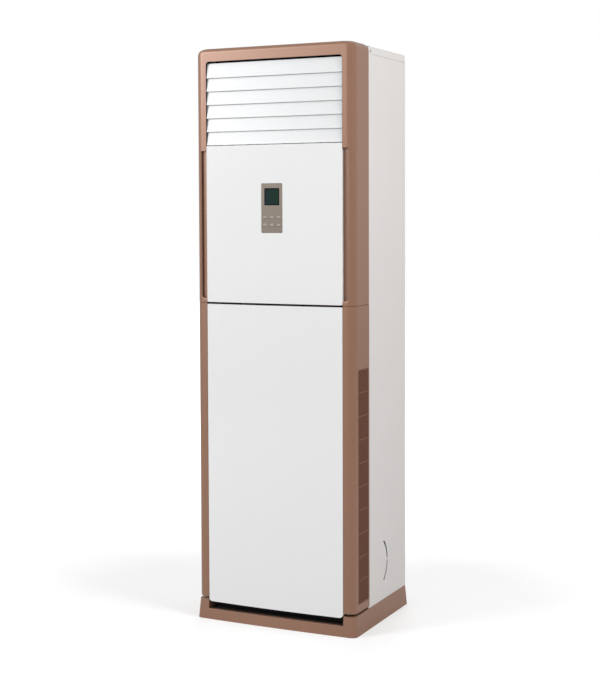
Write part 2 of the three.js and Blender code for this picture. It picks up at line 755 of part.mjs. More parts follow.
function button() {
  const key = rectangle(spread(buttonWidth / 2), spread(buttonHeight / 2), buttonCorner, 2);
  const back = consoleThickness + buttonProud + seatGap;
  const rim = rectangle(grow(spread(buttonWidth / 2), 1), grow(spread(buttonHeight / 2), 1));
  return union(prism("y", key, [0, back]), prism("y", rim, [back, back + snapFlange]));
}
buttonPlaces.forEach(([x, z], i) => {
  piece(`button_${buttonNames[i]}`, keyGrey, button(), [x, consoleFace - buttonProud, z]);
});

// ---------------------------------------------------------------- outlet frame, louvres
const frameFront = mouldedWall + seatGap;
const frameRear = frameFront + frameDepth;
const frameHalf = outletHalf + frameSideGap;
const frameFloor = outletBottom - 1.5;
const frameCeiling = outletTop + frameTopGap;
const vaneMiddle = (frameFloor + frameCeiling) / 2;
const vanePitch = 2 * (outletHalf - vaneEndSpace) / (vaneCount - 1);
const vaneLines = Array.from({ length: vaneCount }, (_, i) => (i - (vaneCount - 1) / 2) * vanePitch);

function outletFrame() {
  const levels = [frameFloor, frameCeiling];
  const outer = rectangle(spread(frameHalf + frameWall), grow(levels, frameWall));
  const inner = rectangle(spread(frameHalf), levels);
  const ring = prism("y", outer, [frameFront, frameRear], [inner]);
  const louverHoles = louverPivotHeights.map((height) =>
    bar("x", [louverPivotDepth, height], pivotHoleRadius, spread(frameHalf + frameWall + 1), 8));
  const vaneHoles = vaneLines.map((x) =>
    bar("z", [x, vanePivotDepth], pivotHoleRadius, grow(levels, frameWall + 1), 8));
  const panelSpace = block(spread(frameHalf + frameWall + 1),
    [0, scoopDepth + mouldedWall + seatGap], [0, outletBottom + seatGap]);
  return cut(ring, panelSpace, ...louverHoles, ...vaneHoles);
}
piece("outlet_frame", darkPlastic, outletFrame());

// A louvre is drawn about its pivot: along is up the blade, behind is towards the rear.
function onBlade(along, behind) {
  return [
    along * Math.sin(louverLean) + behind * Math.cos(louverLean),
    along * Math.cos(louverLean) - behind * Math.sin(louverLean),
  ];
}
const bladePoint = (along, behind) => new THREE.Vector2(...onBlade(along, behind));
const crankPin = onBlade(crankReach, crankOffset);
const louverHalf = outletHalf - louverEndGap;
const linkOuter = louverHalf - crankInset;

function louver(isDriven) {
  const half = louverChord / 2;
  const skin = louverThickness / 2;
  const face = -louverSetForward - skin;
  const back = -louverSetForward + skin;
  const facePoints = 8;
  const section = [];
  for (let i = 0; i <= facePoints; i++) {
    const along = -half + (louverChord * i) / facePoints;
    section.push(bladePoint(along, face - louverBulge * (1 - (along / half) ** 2)));
  }
  section.push(bladePoint(half - skin, back), bladePoint(-half + skin, back));
  const blade = prism("x", section, spread(louverHalf));
  const root = half - 2 * louverEarReach;
  const earOutline = [
    bladePoint(root, back - 0.5), bladePoint(louverEarReach, louverEarReach),
    bladePoint(-louverEarReach, louverEarReach), bladePoint(-root, back - 0.5),
  ];
  const ears = [-1, 1].map((side) =>
    prism("x", earOutline, across(side, louverHalf - louverEarThickness, louverHalf)));
  const reach = frameHalf + frameWall - seatGap;
  const drivenReach = frameHalf + frameWall + smallMotorLength - 2;
  const pins = [
    bar("x", [0, 0], pivotRadius, [-reach, -louverHalf + 1], 8),
    bar("x", [0, 0], pivotRadius, [louverHalf - 1, isDriven ? drivenReach : reach], 8),
  ];
  const lugInner = -linkOuter + linkThickness + seatGap;
  const boss = crankPinRadius + 1.5;
  const lug = prism("x", [
    bladePoint(half - 11, back - 0.5), bladePoint(half - 2, back - 0.5),
    bladePoint(crankReach + boss, crankOffset - boss),
    bladePoint(crankReach + boss, crankOffset + boss),
    bladePoint(crankReach - boss, crankOffset + boss),
  ], [lugInner, lugInner + crankLugThickness]);
  const pin = bar("x", crankPin, crankPinRadius, [-linkOuter - 1, lugInner + 1], 6);
  return union(blade, ...ears, ...pins, lug, pin);
}
louverPivotHeights.forEach((height, i) => {
  piece(`louver_${i + 1}`, whiteLouver, louver(i === 0), [0, louverPivotDepth, height]);
});

function louverLink() {
  const drop = louverPitch * (louverCount - 1);
  const end = crankPinRadius + 3;
  const strip = prism("x", rectangle([-linkFrontWidth, linkRearWidth], [-drop - end, end], 2, 2),
    [0, linkThickness]);
  const holes = louverPivotHeights.map((_, i) =>
    bar("x", [0, -i * louverPitch], crankHoleRadius, [-1, linkThickness + 1], 8));
  return cut(strip, ...holes);
}
piece("louver_link", darkPlastic, louverLink(),
  [-linkOuter, louverPivotDepth + crankPin[0], louverTopPivot + crankPin[1]]);

function smallMotor(axis, length) {
  const body = bar(axis, [0, 0], smallMotorRadius, [0, length], 14);
  const ears = rectangle(spread(smallMotorRadius + 4), spread(4), 3, 3);
  return union(body, prism(axis, ears, [0, 2]));
}
const louverSocket = bar("x", [0, 0], pivotHoleRadius, [-1, smallMotorLength - 1], 10);
piece("louver_motor", motorSteel, cut(smallMotor("x", smallMotorLength), louverSocket),
  [frameHalf + frameWall + seatGap, louverPivotDepth, louverTopPivot]);

// ---------------------------------------------------------------- vertical vanes
function vane(isDriven) {
  const half = vaneChord / 2;
  const skin = vaneThickness / 2;
  const section = [
    [-skin, half - 4], [-skin / 2, half], [skin / 2, half], [skin, half - 4],
    [skin, -half + 4], [skin / 2, -half], [-skin / 2, -half], [-skin, -half + 4],
  ].map(([x, y]) => new THREE.Vector2(x, y));
  const top = (frameCeiling - frameFloor) / 2;
  const blade = prism("z", section, spread(top - vaneEndGap));
  const wallReach = top + frameWall - seatGap;
  const motorReach = top + frameWall + smallMotorLength - 2;
  const pins = union(bar("z", [0, 0], pivotRadius, [top - vaneEndGap - 5, wallReach], 8),
    bar("z", [0, 0], pivotRadius, [isDriven ? -motorReach : -wallReach, -top + vaneEndGap + 5], 8));
  const lugBottom = vaneLinkHeight / 2 + seatGap;
  const lug = prism("z", rectangle(spread(vaneLugHalf), [half - 5, vanePinReach + vaneLugHalf]),
    [lugBottom, lugBottom + vaneLugHalf]);
  const pin = bar("z", [0, vanePinReach], crankPinRadius, [-lugBottom - 1, lugBottom + 1], 6);
  return union(blade, pins, lug, pin);
}
vaneLines.forEach((x, i) => {
  piece(`vane_${i + 1}`, darkPlastic, vane(i === vaneCount - 1), [x, vanePivotDepth, vaneMiddle]);
});

function vaneLink() {
  const end = vaneLines.at(-1) + 6;
  const strip = prism("z", rectangle(spread(end), spread(vaneLinkWidth / 2)),
    spread(vaneLinkHeight / 2));
  const holes = vaneLines.map((x) => bar("z", [x, 0], crankHoleRadius, spread(vaneLinkHeight), 8));
  return cut(strip, ...holes);
}
piece("vane_link", darkPlastic, vaneLink(), [0, vanePivotDepth + vanePinReach, vaneMiddle]);

const vaneSocket = bar("z", [0, 0], pivotHoleRadius, [1, smallMotorLength + 1], 10);
piece("swing_motor", motorSteel, cut(smallMotor("z", smallMotorLength), vaneSocket),
  [vaneLines.at(-1), vanePivotDepth, frameFloor - frameWall - seatGap - smallMotorLength]);

// ---------------------------------------------------------------- blower
const motorFront = bodyDepth - sheet - motorRearGap - motorLength;
const bracketFront = motorFront - seatGap - bracketThickness;
const scrollRear = bracketFront - seatGap;
const scrollFront = scrollRear - scrollDepth;
const tongueAngle = Math.acos(throatInner / scrollTongueRadius);

function scrollOutline(inset) {
  const turns = 32;
  const points = [];
  const start = Math.acos((throatInner + inset) / (scrollTongueRadius - inset));
  for (let i = 0; i <= turns; i++) {
    const angle = start + ((2 * Math.PI - start) * i) / turns;
    const share = (angle - tongueAngle) / (2 * Math.PI - tongueAngle);
    const radius = scrollTongueRadius + (scrollOutletRadius - scrollTongueRadius) * share - inset;
    const across = radius * Math.cos(angle);
    points.push(new THREE.Vector2(fanOffset + across, fanHeight + radius * Math.sin(angle)));
  }
  const top = partitionHeight - seatGap + (inset > 0 ? 1 : 0);
  points.push(new THREE.Vector2(fanOffset + scrollOutletRadius - inset, top));
  points.push(new THREE.Vector2(points[0].x, top));
  return points;
}

// The spiral casing is open at the front, where a flat plate with the air inlet closes it.
function scrollHousing() {
  const front = scrollFront + scrollWall + seatGap;
  const outer = prism("y", scrollOutline(0), [front, scrollRear]);
  const inner = prism("y", scrollOutline(scrollWall), [scrollFront, scrollRear - scrollWall]);
  const legLine = scrollTongueRadius * scrollLegShare;
  const legs = [-1, 1].flatMap((side) => {
    const x = fanOffset + side * legLine;
    return [
      block([x - scrollWall / 2, x + scrollWall / 2], [front, scrollRear],
        [insideTop, fanHeight - legLine]),
      block([x - scrollFoot / 2, x + scrollFoot / 2], [front, scrollRear],
        [insideTop, insideTop + scrollWall]),
    ];
  });
  const rearHole = bar("y", [fanOffset, fanHeight], 3 * shaftRadius,
    [scrollRear - scrollWall - 1, scrollRear + 1], 16);
  return cut(union(outer, ...legs), inner, rearHole);
}
piece("scroll_housing", greyPlastic, scrollHousing());

function scrollFrontPlate() {
  const depth = [scrollFront, scrollFront + scrollWall];
  const inlet = bar("y", [fanOffset, fanHeight], inletRadius, grow(depth, 1), 28);
  return cut(prism("y", scrollOutline(0), depth), inlet);
}
piece("scroll_front_plate", greyPlastic, scrollFrontPlate());

function inletRing() {
  // Profile as (radius, depth): the collar runs into the housing, the round lip stands before it.
  const face = -seatGap;
  const profile = [
    [inletRadius - 1, face], [inletRadius + inletFlare, face], [inletRadius + inletFlare, face - 2],
    [inletRadius + 22, face - 2], [inletRadius + 19, face - 10], [inletRadius + 14, face - 12],
    [inletRadius + 7, face - 11], [inletRadius + 1, face - 7], [inletRadius - 3, face],
    [inletRadius - 4, inletCollar], [inletRadius - 1, inletCollar], [inletRadius - 1, face],
  ];
  return revolve(profile.reverse(), 24);
}
piece("inlet_ring", greyPlastic, inletRing(), [fanOffset, scrollFront, fanHeight]);

const bladesDepth = wheelDepth - wheelDisc - seatGap;

// The blades stand in a ring, joined by a rim at the front and a narrow band at the rear.
function blowerWheel() {
  const inner = wheelRadius - wheelRim;
  const middle = wheelRadius - wheelRim / 2;
  const ring = (span) => prism("y", circle(0, 0, wheelRadius, 36), span, [circle(0, 0, inner, 36)]);
  const rims = [ring([0, wheelRimDepth]), ring([bladesDepth - wheelRimDepth / 2, bladesDepth])];
  const blades = [];
  for (let i = 0; i < bladeCount; i++) {
    const turn = (2 * Math.PI * i) / bladeCount;
    const section = [
      [inner + 1, 0], [middle, bladeSweep / 3], [wheelRadius - 1, bladeSweep],
      [wheelRadius - 1, bladeSweep - bladeThickness], [middle, bladeSweep / 3 - bladeThickness],
      [inner + 1, -bladeThickness],
    ].map(([x, z]) => new THREE.Vector2(x, z).rotateAround(new THREE.Vector2(), turn));
    blades.push(prism("y", section, [wheelRimDepth - 1, bladesDepth - 1]));
  }
  return union(...rims, ...blades);
}

function wheelDiscPlate() {
  const disc = bar("y", [0, 0], wheelRadius, [wheelDepth - wheelDisc, wheelDepth], 36);
  const hub = bar("y", [0, 0], hubRadius, [wheelDepth - hubDepth, wheelDepth], 16);
  const bore = bar("y", [0, 0], shaftRadius + shaftGap, [0, wheelDepth + 1], 12);
  return cut(union(disc, hub), bore);
}
const wheelFront = scrollFront + wheelFrontGap;
piece("blower_wheel", darkPlastic, blowerWheel(), [fanOffset, wheelFront, fanHeight]);
piece("wheel_disc", darkPlastic, wheelDiscPlate(), [fanOffset, wheelFront, fanHeight]);

const shaftFront = wheelFront + wheelDepth - hubDepth;

function motorShaft() {
  return bar("y", [0, 0], shaftRadius, [shaftFront, motorFront + motorLength / 2], 16);
}
piece("motor_shaft", zincSteel, motorShaft(), [fanOffset, 0, fanHeight]);

function fanMotor() {
  const body = prism("y", circle(0, 0, motorRadius, 16), [0, motorLength - motorCap]);
  const cap = prism("y", circle(0, 0, motorRadius - motorCap, 16),
    [motorLength - motorCap - 1, motorLength]);
  const bands = [1, 2].map((share) => {
    const depth = (share * motorLength) / 3;
    return prism("y", circle(0, 0, motorRadius + motorBandRise, 16), [depth - 1.5, depth + 1.5]);
  });
  const bore = bar("y", [0, 0], shaftRadius + shaftGap, [-1, motorLength / 2 + 2], 12);
  return cut(union(body, cap, ...bands), bore);
}
piece("fan_motor", motorSteel, fanMotor(), [fanOffset, motorFront, fanHeight]);

function motorBracket() {
  const arms = [90, 210, 330].map((angle) => {
    const turn = degrees(angle);
    return [bracketReach * Math.cos(turn), bracketReach * Math.sin(turn), bracketRound];
  });
  return prism("y", outline(arms, 6), [0, bracketThickness], [circle(0, 0, 3 * shaftRadius, 16)]);
}
piece("motor_bracket", zincSteel, motorBracket(), [fanOffset, bracketFront, fanHeight]);

// ---------------------------------------------------------------- partition, coil, drain pan
const pipeLine = cabinetHalf - sheet - gasPipeRadius - pipeSideGap;
const coilHalfWidth = pipeLine - coilSideGap;
const coilFootDepth = scrollFront - coilFootGap;
const coilHeadDepth = bodyDepth - sheet - coilTopGap - coilThickness / 2;
const coilTilt = Math.asin((coilHeadDepth - coilFootDepth) / coilLength); // from upright
const panBottom = partitionHeight + sheet + seatGap;
const coilFootHeight = panBottom + panWall + coilRise;
const coilCentreDepth = (coilFootDepth + coilHeadDepth) / 2;
const coilCentreHeight = coilFootHeight + (coilThickness / 2) * Math.sin(coilTilt)
  + (coilLength / 2) * Math.cos(coilTilt);
const panHalfWidth = coilHalfWidth + panMargin;
const panFrontDepth = coilFootDepth - coilThickness / 2 - panFrontMargin;
const spoutPlace = [-panHalfWidth + spoutInset, panFrontDepth + spoutInset];
const gasPipeDepth = coilFootDepth + pipeSetBack;
const liquidPipeDepth = gasPipeDepth + pipeSpacing;
const pipeStartHeight = coilFootHeight + pipeRise;

function partitionPlate() {
  const half = cabinetHalf - sheet - seatGap;
  const front = panFrontDepth - partitionShelf;
  const top = partitionHeight + sheet;
  const flangeReach = cabinetHalf - sheetFlange - seatGap;
  const corners = [
    [-flangeReach, front], [flangeReach, front], [flangeReach, cabinetFront + sheet + seatGap],
    [half, cabinetFront + sheet + seatGap], [half, bodyDepth - sheetFlange - 2 * sheet],
    [-half, bodyDepth - sheetFlange - 2 * sheet], [-half, cabinetFront + sheet + seatGap],
    [-flangeReach, cabinetFront + sheet + seatGap],
  ];
  const plate = prism("z", outline(corners), [partitionHeight, top]);
  const lip = block(spread(flangeReach), [front, front + sheet], [partitionHeight - partitionLip, top]);
  const throat = block(
    [fanOffset + throatInner + scrollWall, fanOffset + scrollOutletRadius - scrollWall],
    [scrollFront + scrollWall, scrollRear - scrollWall], [partitionHeight - 1, top + 1]);
  const pipeSlot = block([pipeLine - gasPipeRadius - pipeSlack, half + 1],
    [gasPipeDepth - gasPipeRadius - pipeSlack, liquidPipeDepth + liquidPipeRadius + pipeSlack],
    [partitionHeight - 1, top + 1]);
  const spoutHole = bar("z", spoutPlace, spoutRadius + 1, [0, bodyHeight], 12);
  return cut(union(plate, lip), throat, pipeSlot, spoutHole);
}
piece("partition_plate", zincSteel, partitionPlate());

function drainPan() {
  const depth = [panFrontDepth, panFrontDepth + panDepth];
  const outer = block(spread(panHalfWidth), depth, [panBottom, panBottom + panHeight]);
  const inner = block(spread(panHalfWidth - panWall), grow(depth, -panWall),
    [panBottom + panWall, panBottom + panHeight + 1]);
  const cradles = [-1, 1].map((side) => block(
    across(side, coilHalfWidth - 40, coilHalfWidth - 20),
    [coilFootDepth, depth[1] - 1], [panBottom + 1, coilFootHeight - seatGap]));
  const spout = bar("z", spoutPlace, spoutRadius, [panBottom - spoutLength, panBottom + 1], 16);
  const drain = bar("z", spoutPlace, spoutRadius - spoutWall,
    [panBottom - spoutLength - 1, panBottom + panWall + 1], 16);
  return cut(union(cut(outer, inner), ...cradles, spout), drain);
}
piece("drain_pan", foam, drainPan());

const coilGroup = new THREE.Group();
coilGroup.position.set(0, coilCentreDepth, coilCentreHeight);
coilGroup.rotation.x = -coilTilt;
cabinet.add(coilGroup);

function evaporatorCoil() {
  const [depth, height] = [spread(coilThickness / 2), spread(coilLength / 2)];
  const fins = block(spread(coilHalfWidth - 1), grow(depth, -1), grow(height, -1));
  const ends = [-1, 1].map((side) =>
    block(across(side, coilHalfWidth - coilEndPlate, coilHalfWidth), depth, height));
  const bendPitch = coilLength / (coilBends + 1);
  const bendRadius = bendPitch / 5;
  const steps = 6;
  const bends = Array.from({ length: coilBends }, (_, i) => {
    const middle = (i + 1 - coilBends / 2) * bendPitch;
    const path = new THREE.CatmullRomCurve3(Array.from({ length: steps + 1 }, (_, k) => {
      const angle = -Math.PI / 2 + (Math.PI * k) / steps;
      const reach = coilHalfWidth - 1 + Math.max(0, Math.cos(angle)) * coilBendReach;
      return new THREE.Vector3(reach, 0, middle + bendRadius * Math.sin(angle));
    }));
    const section = new THREE.Shape(circle(0, 0, liquidPipeRadius, 6));
    return sweep(section, path, steps - 1);
  });
  return union(fins, ...ends, ...bends);
}
piece("evaporator_coil", finAluminium, evaporatorCoil(), [0, 0, 0], coilGroup);

// Each pipe leaves the coil's end plate, turns down and ends in a flare nut by the knock-out.
function refrigerantPipe(radius, depth, height) {
  const start = coilHalfWidth + seatGap;
  const bendRadius = 2.5 * radius;
  const corner = [pipeLine - bendRadius, height - bendRadius];
  const stub = bar("x", [depth, height], radius, [start, corner[0] + 0.5], 8);
  const steps = 6;
  const quarter = new THREE.CatmullRomCurve3(Array.from({ length: steps + 1 }, (_, k) => {
    const angle = (Math.PI / 2) * (1 - k / steps);
    return new THREE.Vector3(corner[0] + bendRadius * Math.cos(angle), depth,
      corner[1] + bendRadius * Math.sin(angle));
  }));
  const section = new THREE.Shape(circle(0, 0, radius, 8));
  const bend = sweep(section, quarter, steps);
  const drop = bar("z", [pipeLine, depth], radius, [pipeEndHeight, corner[1] + 0.5], 8);
  const nut = bar("z", [pipeLine, depth], 1.5 * radius,
    [pipeEndHeight - flareNutLength, pipeEndHeight + 1], 6);
  return union(stub, bend, drop, nut);
}
piece("gas_pipe", copper, refrigerantPipe(gasPipeRadius, gasPipeDepth, pipeStartHeight));
piece("liquid_pipe", copper,
  refrigerantPipe(liquidPipeRadius, liquidPipeDepth, pipeStartHeight + pipeStep));

// ---------------------------------------------------------------- electric box, panel catches
const boxRight = fanOffset + scrollOutletRadius - boxScrollInset;
const boxSpan = [boxRight - boxWidth, boxRight];
const boxLevels = [partitionHeight - boxTopDrop - boxHeight, partitionHeight - boxTopDrop];
const boxRear = scrollFront - seatGap;

function electricBox() {
  const outer = block(boxSpan, [boxRear - boxDepth, boxRear], boxLevels);
  const inner = block(grow(boxSpan, -sheet), [boxRear - boxDepth - 1, boxRear - sheet],
    grow(boxLevels, -sheet));
  const terminals = block([boxSpan[0] + 20, boxSpan[0] + 100], [boxRear - 30, boxRear - 1],
    [boxLevels[0] + 20, boxLevels[0] + 50]);
  const board = block([boxSpan[0] + 10, boxSpan[1] - 10], [boxRear - 12, boxRear - 1],
    [boxLevels[0] + 62, boxLevels[1] - 10]);
  return union(cut(outer, inner), terminals, board);
}
piece("electric_box", zincSteel, electricBox());

function electricBoxCover() {
  const back = boxRear - boxDepth - seatGap;
  const plate = prism("y", rectangle(grow(boxSpan, coverLap), grow(boxLevels, coverLap), 4),
    [back - sheet, back]);
  const raised = prism("y", rectangle(grow(boxSpan, -coverStep), grow(boxLevels, -coverStep), 6),
    [back - sheet - coverRise, back - sheet + 0.5]);
  return union(plate, raised);
}
piece("electric_box_cover", zincSteel, electricBoxCover());

const catchBottom = columnBottom + catchRise;

function panelCatch(side) {
  const levels = [catchBottom, catchBottom + catchHeight];
  const body = block(across(side, jambHalf - catchWidth, jambHalf + mouldedWall),
    [jambDepth + seatGap, jambDepth + catchDepth], levels);
  const nose = block(across(side, jambHalf - catchWidth + 2, panelHalf - 1),
    [lowerPanelDepth + 2 * seatGap, jambDepth + 1], grow(levels, -catchNoseInset));
  return union(body, nose);
}
piece("left_panel_catch", darkPlastic, panelCatch(-1));
piece("right_panel_catch", darkPlastic, panelCatch(1));

// ---------------------------------------------------------------- place on the floor
const frontReach = baseFlare + baseBow;
const rearReach = bodyDepth + baseFlare;
cabinet.position.y = (frontReach - rearReach) / 2;

export default airConditioner;
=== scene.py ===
"""Floor standing air conditioner, dressed for the camera round its packed construction frame.

Lengths are metres in the frame of the construction: +Z up, -Y out of the front, origin on the floor.
The sections follow the cabinet as it is put together, from the base to the control keys.
"""

import json
import math

import bmesh
import bpy
from mathutils import Euler, Matrix, Vector


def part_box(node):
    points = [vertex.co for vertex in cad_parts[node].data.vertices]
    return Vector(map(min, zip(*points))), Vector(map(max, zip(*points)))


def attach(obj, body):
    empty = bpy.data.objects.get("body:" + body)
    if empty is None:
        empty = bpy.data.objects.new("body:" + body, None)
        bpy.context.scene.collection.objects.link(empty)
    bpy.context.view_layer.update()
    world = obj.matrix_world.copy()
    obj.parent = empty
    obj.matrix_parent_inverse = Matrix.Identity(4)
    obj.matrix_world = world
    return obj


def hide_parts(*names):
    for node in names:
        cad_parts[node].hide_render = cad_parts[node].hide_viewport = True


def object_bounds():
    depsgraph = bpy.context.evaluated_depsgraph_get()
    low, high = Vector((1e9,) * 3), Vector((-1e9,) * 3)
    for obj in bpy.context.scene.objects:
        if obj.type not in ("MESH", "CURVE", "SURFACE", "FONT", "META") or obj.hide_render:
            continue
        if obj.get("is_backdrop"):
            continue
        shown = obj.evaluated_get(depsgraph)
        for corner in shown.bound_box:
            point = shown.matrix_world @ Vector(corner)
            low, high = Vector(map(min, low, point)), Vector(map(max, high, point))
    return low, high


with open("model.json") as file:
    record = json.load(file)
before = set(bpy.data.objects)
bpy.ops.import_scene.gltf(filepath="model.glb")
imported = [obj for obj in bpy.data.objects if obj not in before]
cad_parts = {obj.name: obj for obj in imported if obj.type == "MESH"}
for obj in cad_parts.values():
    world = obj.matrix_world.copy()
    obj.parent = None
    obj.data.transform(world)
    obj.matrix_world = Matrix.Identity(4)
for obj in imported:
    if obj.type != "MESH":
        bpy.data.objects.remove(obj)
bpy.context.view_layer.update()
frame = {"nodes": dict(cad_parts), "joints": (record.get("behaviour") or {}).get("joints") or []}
mm = 0.001


# ---------------------------------------------------------------- camera
# A tripod at chest height to the right of the cabinet, level but for a slight look down. The film
# is raised against the lens, so that the uprights of the cabinet stay upright in the picture.
image_height = 686
focal_pixels = 1409.2
horizon_row = 280
camera_place = Vector((1.980, -4.1265, 1.3055))
camera_yaw, camera_pitch, camera_roll = 0.4492, 0.0477, -0.0037

camera_data = bpy.data.cameras.new("tripod_camera")
camera_data.sensor_fit = "AUTO"
camera_data.sensor_width = 36.0
camera_data.lens = focal_pixels / image_height * camera_data.sensor_width
camera_data.shift_y = -(image_height / 2 - horizon_row) / image_height
camera_data.clip_start = 0.05
camera_data.clip_end = 100
camera = bpy.data.objects.new("tripod_camera", camera_data)
camera.matrix_world = (
    Matrix.Translation(camera_place)
    @ Euler((math.pi / 2 - camera_pitch, 0, camera_yaw)).to_matrix().to_4x4()
    @ Matrix.Rotation(camera_roll, 4, "Z")
)
bpy.context.collection.objects.link(camera)
bpy.context.scene.camera = camera
bpy.context.scene.view_settings.view_transform = "Standard"


# ---------------------------------------------------------------- studio floor and light
# A seamless white sweep under three soft boxes: a broad one in front on the left, one high on the
# right whose light falls off down the side, and a weaker one behind. Only the first makes
# highlights. The sweep shows white and keeps a soft shadow round the foot.
def linear(hex_colour):
    """sRGB hex text as a linear colour."""
    channels = [int(hex_colour[i : i + 2], 16) / 255 for i in (1, 3, 5)]
    return [c / 12.92 if c <= 0.04045 else ((c + 0.055) / 1.055) ** 2.4 for c in channels] + [1.0]


def add(tree, kind, inputs=None, **settings):
    """A new node with its settings; each input is a number, a colour or another node's output."""
    made = tree.nodes.new(kind)
    for name, value in settings.items():
        setattr(made, name, value)
    for name, value in (inputs or {}).items():
        if isinstance(value, bpy.types.NodeSocket):
            tree.links.new(value, made.inputs[name])
        else:
            made.inputs[name].default_value = value
    return made


room_light, room_mirror = 0.42, 0.62
key_power, fill_power, back_power = 128, 78, 70

world = bpy.data.worlds.new("white_room")
world.use_nodes = True
bpy.context.scene.world = world
tree = world.node_tree
tree.nodes.clear()
path = add(tree, "ShaderNodeLightPath")
dull = add(tree, "ShaderNodeMapRange", {"Value": path.outputs["Is Glossy Ray"], "To Min": room_light,
                                        "To Max": room_mirror})
seen = add(tree, "ShaderNodeMath", {0: path.outputs["Is Camera Ray"],
                                    1: path.outputs["Is Transmission Ray"]}, operation="MAXIMUM")
strength = add(tree, "ShaderNodeMapRange", {"Value": seen.outputs[0], "To Min": dull.outputs[0],
                                            "To Max": 1.0})
room = add(tree, "ShaderNodeBackground", {"Color": linear("#FFFFFF"), "Strength": strength.outputs[0]})
add(tree, "ShaderNodeOutputWorld", {"Surface": room.outputs[0]})


def soft_box(name, place, aim, size, power):
    """A rectangular lamp that faces the point aim."""
    data = bpy.data.lights.new(name, "AREA")
    data.shape = "RECTANGLE"
    data.size, data.size_y = size
    data.energy = power
    lamp = bpy.data.objects.new(name, data)
    lamp.location = place
    lamp.rotation_euler = (Vector(aim) - Vector(place)).to_track_quat("-Z", "Y").to_euler()
    bpy.context.collection.objects.link(lamp)
    return lamp


soft_box("key_soft_box", (-2.95, -3.55, 2.9), (0, 0, 1.2), (1.8, 1.8), key_power)
fill = soft_box("fill_soft_box", (3.2, -0.8, 2.7), (0, 0, 1.1), (1.4, 1.6), fill_power)
back = soft_box("back_soft_box", (-1.2, 4.2, 2.4), (0, 0, 1.0), (2.0, 2.4), back_power)
fill.visible_glossy = back.visible_glossy = False

sweep_mesh = bpy.data.meshes.new("studio_sweep")
sweep_half = 14.0
sweep_mesh.from_pydata([(-sweep_half, -sweep_half, 0), (sweep_half, -sweep_half, 0),
                        (sweep_half, sweep_half, 0), (-sweep_half, sweep_half, 0)], [], [(0, 1, 2, 3)])
sweep = bpy.data.objects.new("studio_sweep", sweep_mesh)
bpy.context.collection.objects.link(sweep)
sweep_paint = bpy.data.materials.new("matt_white_sweep")
sweep_paint.use_nodes = True
tree = sweep_paint.node_tree
path = add(tree, "ShaderNodeLightPath")
where = add(tree, "ShaderNodeTexCoord").outputs["Object"]
distance = add(tree, "ShaderNodeVectorMath", {0: where}, operation="LENGTH")
near_glow, far_glow = 0.44, 1.0
near_reach, far_reach = 0.8, 2.8
glow = add(tree, "ShaderNodeMapRange", {"Value": distance.outputs["Value"], "From Min": near_reach,
                                        "From Max": far_reach, "To Min": near_glow, "To Max": far_glow})
seen = add(tree, "ShaderNodeMath", {0: path.outputs["Is Camera Ray"], 1: glow.outputs[0]},
           operation="MULTIPLY")
shader = tree.nodes["Principled BSDF"]
shader.inputs["Base Color"].default_value = linear("#C8C8C8")
shader.inputs["Roughness"].default_value = 1.0
shader.inputs["Specular IOR Level"].default_value = 0.0
shader.inputs["Emission Color"].default_value = linear("#FFFFFF")
tree.links.new(seen.outputs[0], shader.inputs["Emission Strength"])
sweep_mesh.materials.append(sweep_paint)
sweep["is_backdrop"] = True


# ---------------------------------------------------------------- base
# The foot of the cabinet: one ABS moulding, flared towards the floor, with a lip at the front and
# a toe recess under the door. It is lacquered in the same metallic bronze as the columns. A black
# sheet on the floor and the wall of the recess is painted shade, for the shadow under the door.
def outline(corners, steps=8):
    """Closed outline through corners (a, b, radius); a corner with a radius becomes an arc."""
    points = []
    for i, (a, b, radius) in enumerate(corners):
        corner = Vector((a, b))
        if radius <= 0:
            points.append(corner)
            continue
        arriving = (corner - Vector(corners[i - 1][:2])).normalized()
        leaving = (Vector(corners[(i + 1) % len(corners)][:2]) - corner).normalized()
        turn = math.atan2(arriving.cross(leaving), arriving.dot(leaving))
        start = corner - arriving * radius * math.tan(abs(turn) / 2)
        centre = start + Vector((-arriving.y, arriving.x)) * math.copysign(radius, turn)
        for k in range(steps + 1):
            points.append(centre + Matrix.Rotation(turn * k / steps, 2) @ (start - centre))
    return points


def solid(name, points, faces):
    """A new mesh object whose faces point outwards."""
    mesh = bpy.data.meshes.new(name)
    work = bmesh.new()
    corners = [work.verts.new(p) for p in points]
    for face in faces:
        work.faces.new([corners[i] for i in face])
    bmesh.ops.remove_doubles(work, verts=work.verts, dist=1e-6)
    bmesh.ops.recalc_face_normals(work, faces=work.faces)
    work.to_mesh(mesh)
    work.free()
    made = bpy.data.objects.new(name, mesh)
    bpy.context.collection.objects.link(made)
    return made


def loft(name, rings):
    """A closed skin through rings of equal count."""
    count = len(rings[0])
    last = (len(rings) - 1) * count
    faces = [tuple(range(count))[::-1], tuple(range(last, last + count))]
    for level in range(len(rings) - 1):
        for i in range(count):
            a = level * count + i
            b = level * count + (i + 1) % count
            faces.append((a, b, b + count, a + count))
    return solid(name, [p for ring in rings for p in ring], faces)


def prism(name, axis, points, low, high):
    """An outline drawn in (y, z), (x, z) or (x, y), carried along x, y or z."""
    place = {
        "x": lambda a, b, h: (h, a, b),
        "y": lambda a, b, h: (a, h, b),
        "z": lambda a, b, h: (a, b, h),
    }
    return loft(name, [[place[axis](p[0], p[1], h) for p in points] for h in (low, high)])


def block(low, high):
    """A box between two opposite corners."""
    return prism("block", "z", outline([(low[0], low[1], 0), (high[0], low[1], 0),
                                        (high[0], high[1], 0), (low[0], high[1], 0)]), low[2], high[2])


def settle(piece):
    """Turns a piece and its modifiers into one plain mesh."""
    graph = bpy.context.evaluated_depsgraph_get()
    mesh = bpy.data.meshes.new_from_object(piece.evaluated_get(graph), depsgraph=graph)
    draft = piece.data
    piece.modifiers.clear()
    piece.data = mesh
    bpy.data.meshes.remove(draft)
    mesh.name = piece.name
    return piece


